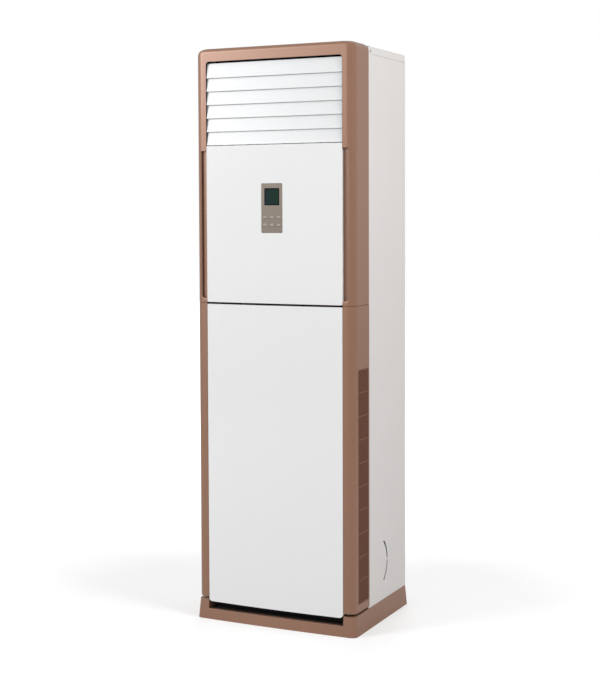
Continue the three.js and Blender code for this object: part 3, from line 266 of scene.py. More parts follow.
def combine(operation, whole, tools):
    """One shape cut by, welded to or limited by others, which are used up."""
    for tool in tools:
        step = whole.modifiers.new("step", "BOOLEAN")
        step.operation = operation
        step.solver = "EXACT"
        step.object = tool
    settle(whole)
    for tool in tools:
        bpy.data.objects.remove(tool)
    return whole


def cut(whole, *tools):
    return combine("DIFFERENCE", whole, tools)


def weld(whole, *tools):
    return combine("UNION", whole, tools)


def round_edges(piece, radius, segments=3, least_angle=35):
    """Breaks the sharp edges of a moulded or folded piece and smooths what is curved."""
    work = bmesh.new()
    work.from_mesh(piece.data)
    bmesh.ops.remove_doubles(work, verts=work.verts, dist=2e-6)
    bmesh.ops.dissolve_limit(work, angle_limit=math.radians(0.4), verts=work.verts, edges=work.edges)
    work.to_mesh(piece.data)
    work.free()
    if radius > 0:
        edge = piece.modifiers.new("edge", "BEVEL")
        edge.width = radius
        edge.segments = segments
        edge.limit_method = "ANGLE"
        edge.angle_limit = math.radians(least_angle)
        edge.miter_outer = "MITER_ARC"
        settle(piece)
    piece.data.shade_smooth()
    piece.data.set_sharp_from_angle(angle=math.radians(40))
    normals = piece.modifiers.new("normals", "WEIGHTED_NORMAL")
    normals.keep_sharp = True
    return settle(piece)


def dress(piece, body, slot, material, *nodes):
    """Gives a piece its material and its body, and hides the nodes that it stands for; the slot is not used.
    """
    piece.data.materials.clear()
    piece.data.materials.append(material)
    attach(piece, body)
    if nodes:
        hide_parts(*nodes)
    return piece


def finish(name, colour, roughness, sockets=None):
    """A material with the constants of its finish set on the shader's own sockets."""
    material = bpy.data.materials.new(name)
    material.use_nodes = True
    tree = material.node_tree
    shader = tree.nodes["Principled BSDF"]
    shader.inputs["Base Color"].default_value = linear(colour)
    shader.inputs["Roughness"].default_value = roughness
    for socket, value in (sockets or {}).items():
        shader.inputs[socket].default_value = value
    return material, tree, shader


def metallic_lacquer():
    """Bronze lacquer with aluminium flake on moulded ABS: a warm satin sheen with a faint sparkle.
    Real flakes are 0.03 mm; they are drawn 0.6 mm wide, so that the sparkle shows."""
    flake_width, peel_width = 0.6 * mm, 5 * mm
    material, tree, shader = finish("bronze_metallic_lacquer_on_abs", "#987059", 0.44, {
        "Metallic": 0.3, "Coat Weight": 0.5, "Coat Roughness": 0.3,
    })
    where = add(tree, "ShaderNodeTexCoord").outputs["Object"]
    flakes = add(tree, "ShaderNodeTexVoronoi", {"Vector": where, "Scale": 1 / flake_width})
    shine = add(tree, "ShaderNodeSeparateColor", {0: flakes.outputs["Color"]})
    tint = add(tree, "ShaderNodeMix", {"Factor": shine.outputs[0], "A": linear("#916953"),
                                       "B": linear("#A17861")}, data_type="RGBA")
    tree.links.new(tint.outputs["Result"], shader.inputs["Base Color"])
    peel = add(tree, "ShaderNodeTexNoise", {"Vector": where, "Scale": 1 / peel_width, "Detail": 1.0})
    relief = add(tree, "ShaderNodeBump", {"Height": peel.outputs["Fac"], "Distance": 0.02 * mm,
                                          "Strength": 0.6})
    tree.links.new(relief.outputs[0], shader.inputs["Normal"])
    return material


bronze = metallic_lacquer()

plinth_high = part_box("base_plinth")[1]
column_low, column_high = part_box("right_lower_column")
rear_low, rear_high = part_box("rear_panel")
bezel_low, bezel_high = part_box("outlet_bezel")
half_body = bezel_high.x
front_plane = bezel_low.y
rear_plane = rear_high.y
base_corner, base_rear_corner = 20 * mm, 9 * mm
corner_line = half_body - base_corner
outlet_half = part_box("upper_front_panel")[1].x
base_flare = plinth_high.x - half_body
base_bow = 4.5 * mm
base_wall = 5 * mm
foot_rise, foot_share = 7 * mm, 0.86
top_outset = 0.2 * mm
lip_height = 33 * mm
toe_depth = 44 * mm
jamb_half = column_low.x
cut_below, cut_beyond = 10 * mm, 100 * mm


def plinth_ring(outset, height):
    """Outline of the foot at a height: round at the corners, bowed forward at the front."""
    half = half_body + outset
    front = front_plane - outset
    bow = base_bow * outset / base_flare
    steps = 24
    crown = []
    for i in range(1, steps):
        x = -corner_line + 2 * corner_line * i / steps
        crown.append((x, front - bow * (1 - (x / corner_line) ** 2), 0))
    rear = rear_plane + outset
    ring = outline([(-half, rear, base_rear_corner), (-half, front, base_corner), *crown,
                    (half, front, base_corner), (half, rear, base_rear_corner)])
    return [(p.x, p.y, height) for p in ring]


base_top = plinth_high.z
plinth = loft("base_moulding", [plinth_ring(base_flare, 0),
                                plinth_ring(base_flare * foot_share, foot_rise),
                                plinth_ring(top_outset, base_top)])
toe_wall = front_plane + toe_depth + base_wall
under = lip_height - base_wall
cut(plinth,
    block((-jamb_half, front_plane - cut_beyond, lip_height),
          (jamb_half, front_plane + toe_depth, base_top + cut_beyond)),
    block((-outlet_half, front_plane + base_wall, -cut_below), (outlet_half, toe_wall + mm, under)),
    block((base_wall - half_body, toe_wall, -cut_below),
          (half_body - base_wall, rear_plane - base_wall, base_top - base_wall)))
round_edges(plinth, 1.2 * mm)
dress(plinth, "cabinet", "bronze_plastic", bronze, "base_plinth")

# A black sheet on the floor and back wall of the toe recess: painted shade, for the shadow under the door.
painted_shade_black = finish("black_moulded_rubber", "#1E1713", 0.75)[0]
shade_sheet, shade_sheet_front = 1.2 * mm, 8 * mm
shade_sheet_half = jamb_half - mm
toe_shade_sheet = block((-shade_sheet_half, front_plane + shade_sheet_front, lip_height),
                (shade_sheet_half, front_plane + toe_depth, lip_height + shade_sheet))
weld(toe_shade_sheet, block((-shade_sheet_half, front_plane + toe_depth - shade_sheet, lip_height),
                    (shade_sheet_half, front_plane + toe_depth, base_top - mm)))
toe_shade_sheet.name = "toe_recess_mat"
round_edges(toe_shade_sheet, 0.3 * mm, 2)
dress(toe_shade_sheet, "cabinet", "dark_plastic", painted_shade_black)


# ---------------------------------------------------------------- galvanised inner sheet
# Base pan, partition, motor bracket and electric box are folded from zinc coated steel, which shows
# a frosty spangle. They keep the shape that they have in the construction, as the motor's plated
# shaft does.
def galvanised_sheet():
    """Hot dip zinc on sheet steel: flat grains about 8 mm wide, each with its own grey and gloss."""
    grain_width = 8 * mm
    material, tree, shader = finish("hot_dip_galvanised_steel", "#B4B7B8", 0.42, {"Metallic": 0.85})
    where = add(tree, "ShaderNodeTexCoord").outputs["Object"]
    grains = add(tree, "ShaderNodeTexVoronoi", {"Vector": where, "Scale": 1 / grain_width})
    shade = add(tree, "ShaderNodeSeparateColor", {0: grains.outputs["Color"]}).outputs[0]
    tint = add(tree, "ShaderNodeMix", {"Factor": shade, "A": linear("#A6AAAC"), "B": linear("#C2C5C6")},
               data_type="RGBA")
    gloss = add(tree, "ShaderNodeMapRange", {"Value": shade, "To Min": 0.34, "To Max": 0.5})
    tree.links.new(tint.outputs["Result"], shader.inputs["Base Color"])
    tree.links.new(gloss.outputs[0], shader.inputs["Roughness"])
    return material


def keep(material, *nodes):
    """Gives nodes that keep their construction shape a finish."""
    for node in nodes:
        for place in frame["nodes"][node].material_slots:
            place.material = material


zinc = galvanised_sheet()
keep(zinc, "base_pan", "partition_plate", "motor_bracket", "electric_box", "electric_box_cover",
     "motor_shaft")


# ---------------------------------------------------------------- steel cabinet
# Two sides, a rear panel and a top cover, folded from sheet steel with rounded bends and powder
# coated in warm white. The sides are stepped back under the cover's edge, which shows as a seam.
# Two arcs slit low in the right side bound the knock-out for the pipes.
def powder_coat():
    """Baked polyester powder on steel: matt white with a fine pebbled skin. The pebbles are 0.4 mm
    wide on the real sheet and are drawn 1.6 mm wide."""
    pebble_width, cloud_width = 1.6 * mm, 260 * mm
    material, tree, shader = finish("powder_coated_steel", "#DAD6D4", 0.46, {"Specular IOR Level": 0.4})
    where = add(tree, "ShaderNodeTexCoord").outputs["Object"]
    cloud = add(tree, "ShaderNodeTexNoise", {"Vector": where, "Scale": 1 / cloud_width, "Detail": 2.0})
    tint = add(tree, "ShaderNodeMix", {"Factor": cloud.outputs["Fac"], "A": linear("#D8D4D2"),
                                       "B": linear("#DDD9D7")}, data_type="RGBA")
    pebbles = add(tree, "ShaderNodeTexNoise", {"Vector": where, "Scale": 1 / pebble_width, "Detail": 2.0})
    relief = add(tree, "ShaderNodeBump", {"Height": pebbles.outputs["Fac"], "Distance": 0.05 * mm,
                                          "Strength": 0.35})
    tree.links.new(tint.outputs["Result"], shader.inputs["Base Color"])
    tree.links.new(relief.outputs[0], shader.inputs["Normal"])
    return material


white_steel = powder_coat()
side_low, side_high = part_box("right_side_panel")
cover_low, cover_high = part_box("top_cover")
sheet, seam, seam_depth = 1.5 * mm, 1.2 * mm, 1.0 * mm
side_bend, inner_bend, rear_bend = 2.2 * mm, 0.7 * mm, 2 * mm
flange = side_high.x - side_low.x
knockout_radius, knockout_slit = 86 * mm, 7 * mm
knockout_arcs = ((-50, -2), (2, 50))
knockout_y = front_plane + 185 * mm
knockout_z = 188 * mm


def arc_band(radius, width, start, end, steps=20):
    """Ring segment in (y, z) about the knock-out's middle, angles in degrees."""
    turns = [math.radians(start + (end - start) * i / steps) for i in range(steps + 1)]
    sweeps = ((radius, turns), (radius - width, turns[::-1]))
    return [(knockout_y + r * math.cos(t), knockout_z + r * math.sin(t)) for r, way in sweeps for t in way]


for word, side in (("left", -1), ("right", 1)):
    outer = side_high.x
    corners = [(outer, side_low.y, side_bend), (outer, side_high.y, 0), (outer - sheet, side_high.y, 0),
               (outer - sheet, side_low.y + sheet, inner_bend), (outer - flange, side_low.y + sheet, 0),
               (outer - flange, side_low.y, 0)]
    panel = prism(word + "_cabinet_side", "z", [(side * p.x, p.y) for p in outline(corners, 5)],
                  side_low.z, side_high.z)
    rebate_low, rebate_high = sorted((side * (outer - seam_depth), side * (outer + mm)))
    cut(panel, block((rebate_low, side_low.y - mm, side_high.z - seam),
                     (rebate_high, side_high.y + mm, side_high.z + mm)))
    if side > 0:
        cut(panel, *(prism("slit", "x", arc_band(knockout_radius, knockout_slit, *arc),
                           outer - 2 * sheet, outer + mm) for arc in knockout_arcs))
    round_edges(panel, 0.35 * mm, 2)
    dress(panel, "cabinet", "white_steel", white_steel, word + "_side_panel")

clear = 0.3 * mm
half = rear_high.x
inner = half - sheet - clear
back, front = rear_high.y, rear_low.y
rear_corners = [(-half, back, rear_bend), (-half, back - sheet, 0), (-inner, back - sheet, 0),
                (-inner, front, 0), (-inner + sheet, front, 0), (-inner + sheet, back - sheet, 0),
                (inner - sheet, back - sheet, 0), (inner - sheet, front, 0), (inner, front, 0),
                (inner, back - sheet, 0), (half, back - sheet, 0), (half, back, rear_bend)]
rear = prism("rear_sheet", "z", outline(rear_corners, 5), rear_low.z, rear_high.z)
round_edges(rear, 0.3 * mm, 2)
dress(rear, "cabinet", "white_steel", white_steel, "rear_panel")

cover_corner = 5 * mm
cover_plan = outline([(-cover_high.x, cover_low.y, 0), (cover_high.x, cover_low.y, 0),
                      (cover_high.x, cover_high.y, cover_corner),
                      (-cover_high.x, cover_high.y, cover_corner)], 8)
cover = prism("top_cover_sheet", "z", [(p.x, p.y) for p in cover_plan], cover_low.z, cover_high.z)
cut(cover, block((-cover_high.x + sheet, cover_low.y + sheet, cover_low.z - mm),
                 (cover_high.x - sheet, cover_high.y - sheet, cover_high.z - sheet)))
round_edges(cover, 1.3 * mm, 4)
dress(cover, "cabinet", "white_steel", white_steel, "top_cover")


# ---------------------------------------------------------------- lower columns
# Two ABS mouldings beside the door, rounded at the front corner, with a return behind the door's
# edge that takes its hinge pin and a long window in the side for the intake grille. A dark gap
# under their foot parts them from the base.
column_wall = 3 * mm
shell_radius = 26 * mm
foot_gap, head_reach = 2.5 * mm, 0.4 * mm
jamb_depth = 22 * mm
rear_return = 12 * mm
column_rear = column_high.y
grille_low, grille_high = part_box("right_intake_grille")
lip = 3 * mm
window_low = (grille_low.y + lip - clear, grille_low.z + lip - clear)
window_high = (grille_high.y - lip + clear, grille_high.z - lip + clear)
hinge = next(j for j in frame["joints"] if j["name"] == "lower_panel_tilt")
hinge_y, hinge_z = hinge["pos_m"][1], hinge["pos_m"][2]
hinge_hole = 2.7 * mm
well_inside, everywhere = 200 * mm, (-1, 3)


def rod(axis, centre, radius, low, high, sides=32):
    points = [(centre[0] + radius * math.cos(2 * math.pi * i / sides),
               centre[1] + radius * math.sin(2 * math.pi * i / sides)) for i in range(sides)]
    return prism("rod", axis, points, low, high)


def common(whole, *tools):
    return combine("INTERSECT", whole, tools)


def column_plan(inset, side):
    """Plan of a column: straight but for the round corner at the front."""
    outer, front, rear = half_body - inset, front_plane + inset, column_rear - inset
    ring = outline([(outlet_half - mm, front, 0), (outer, front, shell_radius - inset), (outer, rear, 0),
                    (outlet_half - mm, rear, 0)], 20)
    return [(side * p.x, p.y) for p in ring]


def span(side, near, far):
    """Two distances from the middle on one side, as x values with the lower first."""
    return sorted((side * near, side * far))


def slab(side, near, far, y, z):
    """A block between two distances from the middle, on one side."""
    low, high = span(side, near, far)
    return block((low, y[0], z[0]), (high, y[1], z[1]))


for word, side in (("left", -1), ("right", 1)):
    levels = (column_low.z + foot_gap, column_high.z + head_reach)
    inner = half_body - column_wall
    column = prism(word + "_column_moulding", "z", column_plan(0, side), *levels)
    jamb = common(slab(side, jamb_half, jamb_half + column_wall, (front_plane, front_plane + jamb_depth),
                       levels),
                  prism("limit", "z", column_plan(0, side), *levels))
    cut(column, prism("hollow", "z", column_plan(column_wall, side), levels[0] - 1, levels[1] + 1))
    weld(column, jamb)
    cut(column, slab(side, -cut_below, jamb_half, everywhere, everywhere),
        slab(side, well_inside, inner - rear_return, (front_plane + jamb_depth, 1), everywhere),
        slab(side, inner - mm, half_body + mm, (window_low[0], window_high[0]),
             (window_low[1], window_high[1])),
        rod("x", (hinge_y, hinge_z), hinge_hole,
            *span(side, jamb_half - mm, jamb_half + column_wall + mm)))
    round_edges(column, 0.6 * mm, 3)
    dress(column, "cabinet", "bronze_plastic", bronze, word + "_lower_column")


# ---------------------------------------------------------------- intake grilles and air filters
# Each grille is one dark bronze moulding: slim round slats tied by cross bars, in a frame with a
# flange that clips behind the column's window. A woven filter in a frame lies behind it.
def skin(tree, shader, width, depth, strength=0.5, detail=1.0):
    """A shallow random relief: the grain or the slight waviness of a moulded or drawn surface."""
    where = add(tree, "ShaderNodeTexCoord").outputs["Object"]
    grain = add(tree, "ShaderNodeTexNoise", {"Vector": where, "Scale": 1 / width, "Detail": detail})
    relief = add(tree, "ShaderNodeBump", {"Height": grain.outputs["Fac"], "Distance": depth,
                                          "Strength": strength})
    tree.links.new(relief.outputs[0], shader.inputs["Normal"])
    return grain.outputs["Fac"]


def moulded_plastic(name, colour, roughness, grain_width, sockets=None):
    """A thermoplastic moulding with the fine even grain of its spark-eroded mould."""
    material, tree, shader = finish(name, colour, roughness, sockets)
    skin(tree, shader, grain_width, 0.03 * mm)
    return material


def pattern_tree(name, inputs):
    """A geometry tree with named inputs, and the outputs of its input node."""
    tree = bpy.data.node_groups.new(name, "GeometryNodeTree")
    tree.is_modifier = True
    for label, kind in inputs.items():
        tree.interface.new_socket(label, in_out="INPUT", socket_type="NodeSocket" + kind)
    tree.interface.new_socket("Geometry", in_out="OUTPUT", socket_type="NodeSocketGeometry")
    return tree, tree.nodes.new("NodeGroupInput").outputs


def end_pattern(tree, geometry, material):
    """Makes the copies real, gives them their material and hands them out."""
    real = add(tree, "GeometryNodeRealizeInstances", {"Geometry": geometry})
    painted = add(tree, "GeometryNodeSetMaterial", {"Geometry": real.outputs[0], "Material": material})
    add(tree, "NodeGroupOutput", {"Geometry": painted.outputs[0]})


def repeated(tree, shape, count, pitch, axis):
    """Copies of a shape on a line that is centred on the origin and runs along Y or Z."""
    gaps = add(tree, "ShaderNodeMath", {0: count, 1: 1.0}, operation="SUBTRACT")
    length = add(tree, "ShaderNodeMath", {0: gaps.outputs[0], 1: pitch}, operation="MULTIPLY")
    first = add(tree, "ShaderNodeMath", {0: length.outputs[0], 1: -0.5}, operation="MULTIPLY")
    start = add(tree, "ShaderNodeCombineXYZ", {axis: first.outputs[0]})
    step = add(tree, "ShaderNodeCombineXYZ", {axis: pitch})
    line = add(tree, "GeometryNodeMeshLine", {"Count": count, "Start Location": start.outputs[0],
                                              "Offset": step.outputs[0]})
    copies = add(tree, "GeometryNodeInstanceOnPoints", {"Points": line.outputs[0], "Instance": shape})
    return copies.outputs[0]


def round_bar(tree, depth, width, length, lying):
    """An oval bar that stands along Z, or lies along Y."""
    size = add(tree, "ShaderNodeCombineXYZ", {"X": depth, "Y": width, "Z": length})
    rod_mesh = add(tree, "GeometryNodeMeshCylinder", {"Vertices": 14, "Radius": 0.5, "Depth": 1.0})
    turn = (math.pi / 2 if lying else 0, 0, 0)
    placed = add(tree, "GeometryNodeTransform", {"Geometry": rod_mesh.outputs["Mesh"],
                                                 "Scale": size.outputs[0], "Rotation": turn})
    return placed.outputs[0]


def grown(name, tree, values, place=(0, 0, 0)):
    """A piece grown from a geometry tree and its input values, as one plain mesh."""
    piece = bpy.data.objects.new(name, bpy.data.meshes.new(name))
    bpy.context.collection.objects.link(piece)
    pattern = piece.modifiers.new("pattern", "NODES")
    pattern.node_group = tree
    for label, value in values.items():
        pattern[tree.interface.items_tree[label].identifier] = value
    settle(piece)
    piece.data.transform(Matrix.Translation(place))
    return round_edges(piece, 0)


grille_plastic = moulded_plastic("dark_bronze_grille_abs", "#744B3B", 0.5, 1.2 * mm)

grille_tree, given = pattern_tree("slatted_grille", {
    "Slats": "Int", "Slat Pitch": "Float", "Slat Width": "Float", "Bars": "Int", "Bar Pitch": "Float",
    "Bar Width": "Float", "Depth": "Float", "Width": "Float", "Height": "Float", "Material": "Material",
})
slat = round_bar(grille_tree, given["Depth"], given["Slat Width"], given["Height"], lying=False)
tie = round_bar(grille_tree, given["Depth"], given["Bar Width"], given["Width"], lying=True)
slats = repeated(grille_tree, slat, given["Slats"], given["Slat Pitch"], "Y")
ties = repeated(grille_tree, tie, given["Bars"], given["Bar Pitch"], "Z")
joined = add(grille_tree, "GeometryNodeJoinGeometry")
for part in (slats, ties):
    grille_tree.links.new(part, joined.inputs[0])
end_pattern(grille_tree, joined.outputs[0], given["Material"])

grille_frame = 4 * mm
grille_face = half_body - 0.6 * mm
grille_window = [(window_low[i] + clear, window_high[i] - clear) for i in (0, 1)]
slat_count, slat_width, slat_set_back = 11, 3.2 * mm, 2.1 * mm
bar_count, bar_pitch, bar_width = 9, 72.9 * mm, 4.2 * mm
grille_depth = 3.8 * mm


def rectangle(a, b, radius=0.0, steps=8):
    """Outline of a plate between two pairs of limits, with round corners."""
    corners = [(a[0], b[0], radius), (a[1], b[0], radius), (a[1], b[1], radius), (a[0], b[1], radius)]
    return outline(corners, steps)


def widen(limits, margin):
    return (limits[0] - margin, limits[1] + margin)


for word, side in (("left", -1), ("right", 1)):
    y_span, z_span = grille_window
    rim = prism(word + "_grille_frame", "x", rectangle(y_span, z_span),
                *span(side, grille_face - grille_frame, grille_face))
    lip_face = half_body - column_wall - clear
    lip_plate = prism("lip", "x", rectangle(widen(y_span, lip), widen(z_span, lip)),
                      *span(side, lip_face - lip, lip_face))
    weld(rim, lip_plate)
    opening = rectangle(widen(y_span, -grille_frame), widen(z_span, -grille_frame))
    cut(rim, prism("opening", "x", opening, *span(side, well_inside, 2 * well_inside)))
    round_edges(rim, 0.5 * mm)
    dress(rim, "cabinet", "bronze_grille", grille_plastic, word + "_intake_grille")
    width = y_span[1] - y_span[0] - 2 * grille_frame
    slats = grown(word + "_grille_slats", grille_tree, {
        "Slats": slat_count, "Slat Pitch": width / slat_count, "Slat Width": slat_width,
        "Bars": bar_count, "Bar Pitch": bar_pitch, "Bar Width": bar_width, "Depth": grille_depth,
        "Width": width + mm, "Height": z_span[1] - z_span[0] - grille_frame, "Material": grille_plastic,
    }, (side * (grille_face - slat_set_back), sum(y_span) / 2, sum(z_span) / 2))
    dress(slats, "cabinet", "bronze_grille", grille_plastic)


def woven_mesh():
    """Polypropylene thread woven 0.5 mm apart; the weave is drawn 2 mm apart, so that it shows."""
    thread_pitch = 2 * mm
    material, tree, shader = finish("woven_polypropylene_filter", "#3C3632", 0.8)
    where = add(tree, "ShaderNodeTexCoord").outputs["Object"]
    axes = add(tree, "ShaderNodeSeparateXYZ", {0: where})
    waves = []
    for axis in ("Y", "Z"):
        turns = add(tree, "ShaderNodeMath", {0: axes.outputs[axis], 1: 2 * math.pi / thread_pitch},
                    operation="MULTIPLY")
        waves.append(add(tree, "ShaderNodeMath", {0: turns.outputs[0]}, operation="SINE").outputs[0])
    crossing = add(tree, "ShaderNodeMath", {0: waves[0], 1: waves[1]}, operation="MAXIMUM")
    tint = add(tree, "ShaderNodeMix", {"Factor": crossing.outputs[0], "A": linear("#231A16"),
                                       "B": linear("#57463D")}, data_type="RGBA")
    relief = add(tree, "ShaderNodeBump", {"Height": crossing.outputs[0], "Distance": 0.2 * mm})
    tree.links.new(tint.outputs["Result"], shader.inputs["Base Color"])
    tree.links.new(relief.outputs[0], shader.inputs["Normal"])
    return material


keep(woven_mesh(), "left_air_filter", "right_air_filter")


# ---------------------------------------------------------------- blower
# The spiral casing and its front plate with the flared inlet are polypropylene, the bladed wheel
# and its disc black ABS, and the motors have enamelled cans. All keep their construction shape.
grey_plastic = moulded_plastic("grey_polypropylene", "#C4C7C8", 0.55, 1.5 * mm)
dark_plastic = moulded_plastic("black_abs", "#34353A", 0.5, 1.2 * mm)
motor_enamel = moulded_plastic("dark_motor_enamel", "#50545A", 0.4, 3 * mm,
                               {"Metallic": 0.4, "Coat Weight": 0.3})
keep(grey_plastic, "scroll_housing", "scroll_front_plate", "inlet_ring")
keep(dark_plastic, "blower_wheel", "wheel_disc", "left_panel_catch", "right_panel_catch")
keep(motor_enamel, "fan_motor", "louver_motor", "swing_motor")


# ---------------------------------------------------------------- coil, drain pan and pipes
# A leaning pack of aluminium fins on copper hairpins, over a pan moulded in expanded polystyrene.
# The two copper pipes run down the right side to their flare nuts beside the knock-out.
def drawn_copper():
    """Annealed copper tube: a soft sheen, with browner patches where hands and heat were."""
    patch_width = 30 * mm
    material, tree, shader = finish("annealed_copper_tube", "#B8734A", 0.34, {"Metallic": 0.95})
    where = add(tree, "ShaderNodeTexCoord").outputs["Object"]
    patches = add(tree, "ShaderNodeTexNoise", {"Vector": where, "Scale": 1 / patch_width, "Detail": 3.0})
    tint = add(tree, "ShaderNodeMix", {"Factor": patches.outputs["Fac"], "A": linear("#A5633D"),
                                       "B": linear("#C8835A")}, data_type="RGBA")
    tree.links.new(tint.outputs["Result"], shader.inputs["Base Color"])
    return material


def bead_foam():
    """Expanded polystyrene: soft white, with the outlines of its 3 mm beads pressed together."""
    bead_width = 3 * mm
    material, tree, shader = finish("expanded_polystyrene", "#E9E9E4", 0.9)
    where = add(tree, "ShaderNodeTexCoord").outputs["Object"]
    beads = add(tree, "ShaderNodeTexVoronoi", {"Vector": where, "Scale": 1 / bead_width},
                feature="DISTANCE_TO_EDGE")
    relief = add(tree, "ShaderNodeBump", {"Height": beads.outputs["Distance"], "Distance": 0.4 * mm,
                                          "Strength": 0.5})
    tree.links.new(relief.outputs[0], shader.inputs["Normal"])
    return material


copper = drawn_copper()
keep(copper, "gas_pipe", "liquid_pipe")
keep(bead_foam(), "drain_pan")

fin_aluminium, tree, shader = finish("blue_grey_fin_aluminium", "#C9CCD0", 0.38, {"Metallic": 0.9})
skin(tree, shader, 6 * mm, 0.05 * mm)

fin_tree, given = pattern_tree("fin_pack", {
    "Fins": "Int", "Fin Pitch": "Float", "Thickness": "Float", "Depth": "Float", "Height": "Float",
    "Material": "Material",
})
fin_size = add(fin_tree, "ShaderNodeCombineXYZ", {"X": given["Depth"], "Y": given["Thickness"],
                                                  "Z": given["Height"]})
fin = add(fin_tree, "GeometryNodeMeshCube", {"Size": fin_size.outputs[0]})
end_pattern(fin_tree, repeated(fin_tree, fin.outputs["Mesh"], given["Fins"], given["Fin Pitch"], "Y"),
            given["Material"])

coil_node = frame["nodes"]["evaporator_coil"]
coil_corners = [coil_node.matrix_world @ Vector(c) for c in coil_node.bound_box]
coil_low, coil_high = (Vector([end(c[i] for c in coil_corners) for i in range(3)]) for end in (min, max))
coil_depth, coil_length = 50 * mm, 640 * mm
coil_half = -coil_low.x
coil_plate = 2 * mm
coil_lean = math.atan2(coil_depth, coil_length) + math.acos(
    (coil_high.z - coil_low.z) / math.hypot(coil_depth, coil_length))
coil_middle = Vector((0, (coil_low.y + coil_high.y) / 2, (coil_low.z + coil_high.z) / 2))
coil_place = Matrix.Translation(coil_middle) @ Matrix.Rotation(-coil_lean, 4, "X")
fin_pitch, fin_thickness = 2.4 * mm, 0.4 * mm
fin_count = int((2 * coil_half - 4 * coil_plate) / fin_pitch)
fins = grown("coil_fins", fin_tree, {
    "Fins": fin_count, "Fin Pitch": fin_pitch, "Thickness": fin_thickness,
    "Depth": coil_depth - coil_plate, "Height": coil_length - coil_plate, "Material": fin_aluminium,
})
fins.data.transform(coil_place @ Matrix.Rotation(math.pi / 2, 4, "Z"))
dress(fins, "cabinet", "coil_aluminium", fin_aluminium, "evaporator_coil")

for name, x in (("left_coil_end_plate", -coil_half), ("right_coil_end_plate", coil_half - coil_plate)):
    plate = block((x, -coil_depth / 2, -coil_length / 2),
                  (x + coil_plate, coil_depth / 2, coil_length / 2))
    plate.name = name
    round_edges(plate, 0.3 * mm, 2)
    plate.data.transform(coil_place)
    dress(plate, "cabinet", "coil_aluminium", zinc)

tube_radius, tube_rows, tube_offset = 4.8 * mm, 24, 12 * mm
bend_bulge = 0.66


def return_bend(side, middle, radius, depth):
    """Half a turn of tube that joins two rows at one end of the coil."""
    rings = []
    steps, sides = 14, 14
    for k in range(steps + 1):
        turn = math.pi * k / steps
        centre = Vector((side * (coil_half - mm + radius * bend_bulge * math.sin(turn)), depth,
                         middle - radius * math.cos(turn)))
        out = Vector((side * math.sin(turn), 0, -math.cos(turn)))
        round_tube = [2 * math.pi * s / sides for s in range(sides)]
        rings.append([centre + tube_radius * (math.cos(t) * out + math.sin(t) * Vector((0, 1, 0)))
                      for t in round_tube])
    return loft("return_bend", rings)


def gather(name, pieces):
    """Several closed shapes of one material as one piece."""
    work = bmesh.new()
    for piece in pieces:
        work.from_mesh(piece.data)
        bpy.data.objects.remove(piece)
    mesh = bpy.data.meshes.new(name)
    work.to_mesh(mesh)
    work.free()
    made = bpy.data.objects.new(name, mesh)
    bpy.context.collection.objects.link(made)
    return made


row_pitch = coil_length / tube_rows
bends = []
for side, stagger in ((-1, 1), (1, 0)):
    for row in range(1, tube_rows - 3, 2):
        middle = (row + 0.5 - tube_rows / 2 + stagger) * row_pitch
        bends += [return_bend(side, middle, row_pitch / 2, depth) for depth in (-tube_offset, tube_offset)]
bends = gather("coil_return_bends", bends)
bends.data.transform(coil_place)
round_edges(bends, 0)
dress(bends, "cabinet", "copper", copper)


# ---------------------------------------------------------------- outlet bezel
# One thin ABS shell round the outlet and the upper panel, whose top rolls over on all sides. A
# finger channel runs down each side of the panel; its side slopes in and its foot rolls in. A thin
# black trim lines the outlet's reveal: painted shade, for the shadow inside the reveal.
bezel_side_radius, bezel_front_radius, bezel_rear_radius = 22 * mm, 14 * mm, 18 * mm
bezel_rear_corner, rear_clear = 1.5 * mm, 30 * mm
channel_depth, channel_reach = 10 * mm, 24 * mm
upper_low, upper_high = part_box("upper_front_panel")
outlet_bottom = upper_high.z
outlet_top = bezel_high.z - 42 * mm
outlet_corner = 9 * mm


def draw_in(rise, radius):
    """How far a quarter round of this radius has drawn in at a height above its start."""
    rise = min(max(rise, 0.0), radius)
    return radius - math.sqrt(radius ** 2 - rise ** 2)


def bezel_ring(height, inset):
    """Outline of the shell at a height, or of its hollow when inset by the wall."""
    top = bezel_high.z - inset
    side_radius, front_radius, rear_radius = (
        r - inset for r in (bezel_side_radius, bezel_front_radius, bezel_rear_radius))
    half = half_body - inset - draw_in(height - top + side_radius, side_radius)
    front = front_plane + inset + draw_in(height - top + front_radius, front_radius)
    back = column_rear - inset - draw_in(height - top + rear_radius, rear_radius)
    ring = outline([(-half, back, bezel_rear_corner), (-half, front, shell_radius - inset),
                    (half, front, shell_radius - inset), (half, back, bezel_rear_corner)], 18)
    return [(p.x, p.y, height) for p in ring]


def bezel_body(name, inset):
    """The shell's outer form, or its hollow, which reaches out at the foot."""
    top = bezel_high.z - inset
    radius = bezel_side_radius - inset
    low = bezel_low.z - (mm if inset > 0 else 0)
    steps = 14
    heights = [low] + [top - radius + radius * math.sin(math.pi / 2 * k / steps) for k in range(steps + 1)]
    return loft(name, [bezel_ring(height, inset) for height in heights])


bezel = bezel_body("outlet_bezel_moulding", 0)
backing = common(block((-1, front_plane + channel_depth, bezel_low.z),
                       (1, front_plane + channel_depth + column_wall, outlet_bottom)),
                 bezel_body("limit", 0))
open_rear = block((column_wall - half_body, front_plane + rear_clear, bezel_low.z - mm),
                  (half_body - column_wall, column_rear + mm, cover_low.z))
cut(bezel, bezel_body("hollow", column_wall), open_rear)
weld(bezel, backing)
channel_half = jamb_half + channel_reach
channel_foot, channel_head = bezel_low.z + 9 * mm, outlet_bottom - 16 * mm
side_slope, foot_roll, head_roll = 15 * mm, 8 * mm, 2 * mm
foot_corner, head_corner = 18 * mm, 3 * mm
roll_steps = 7


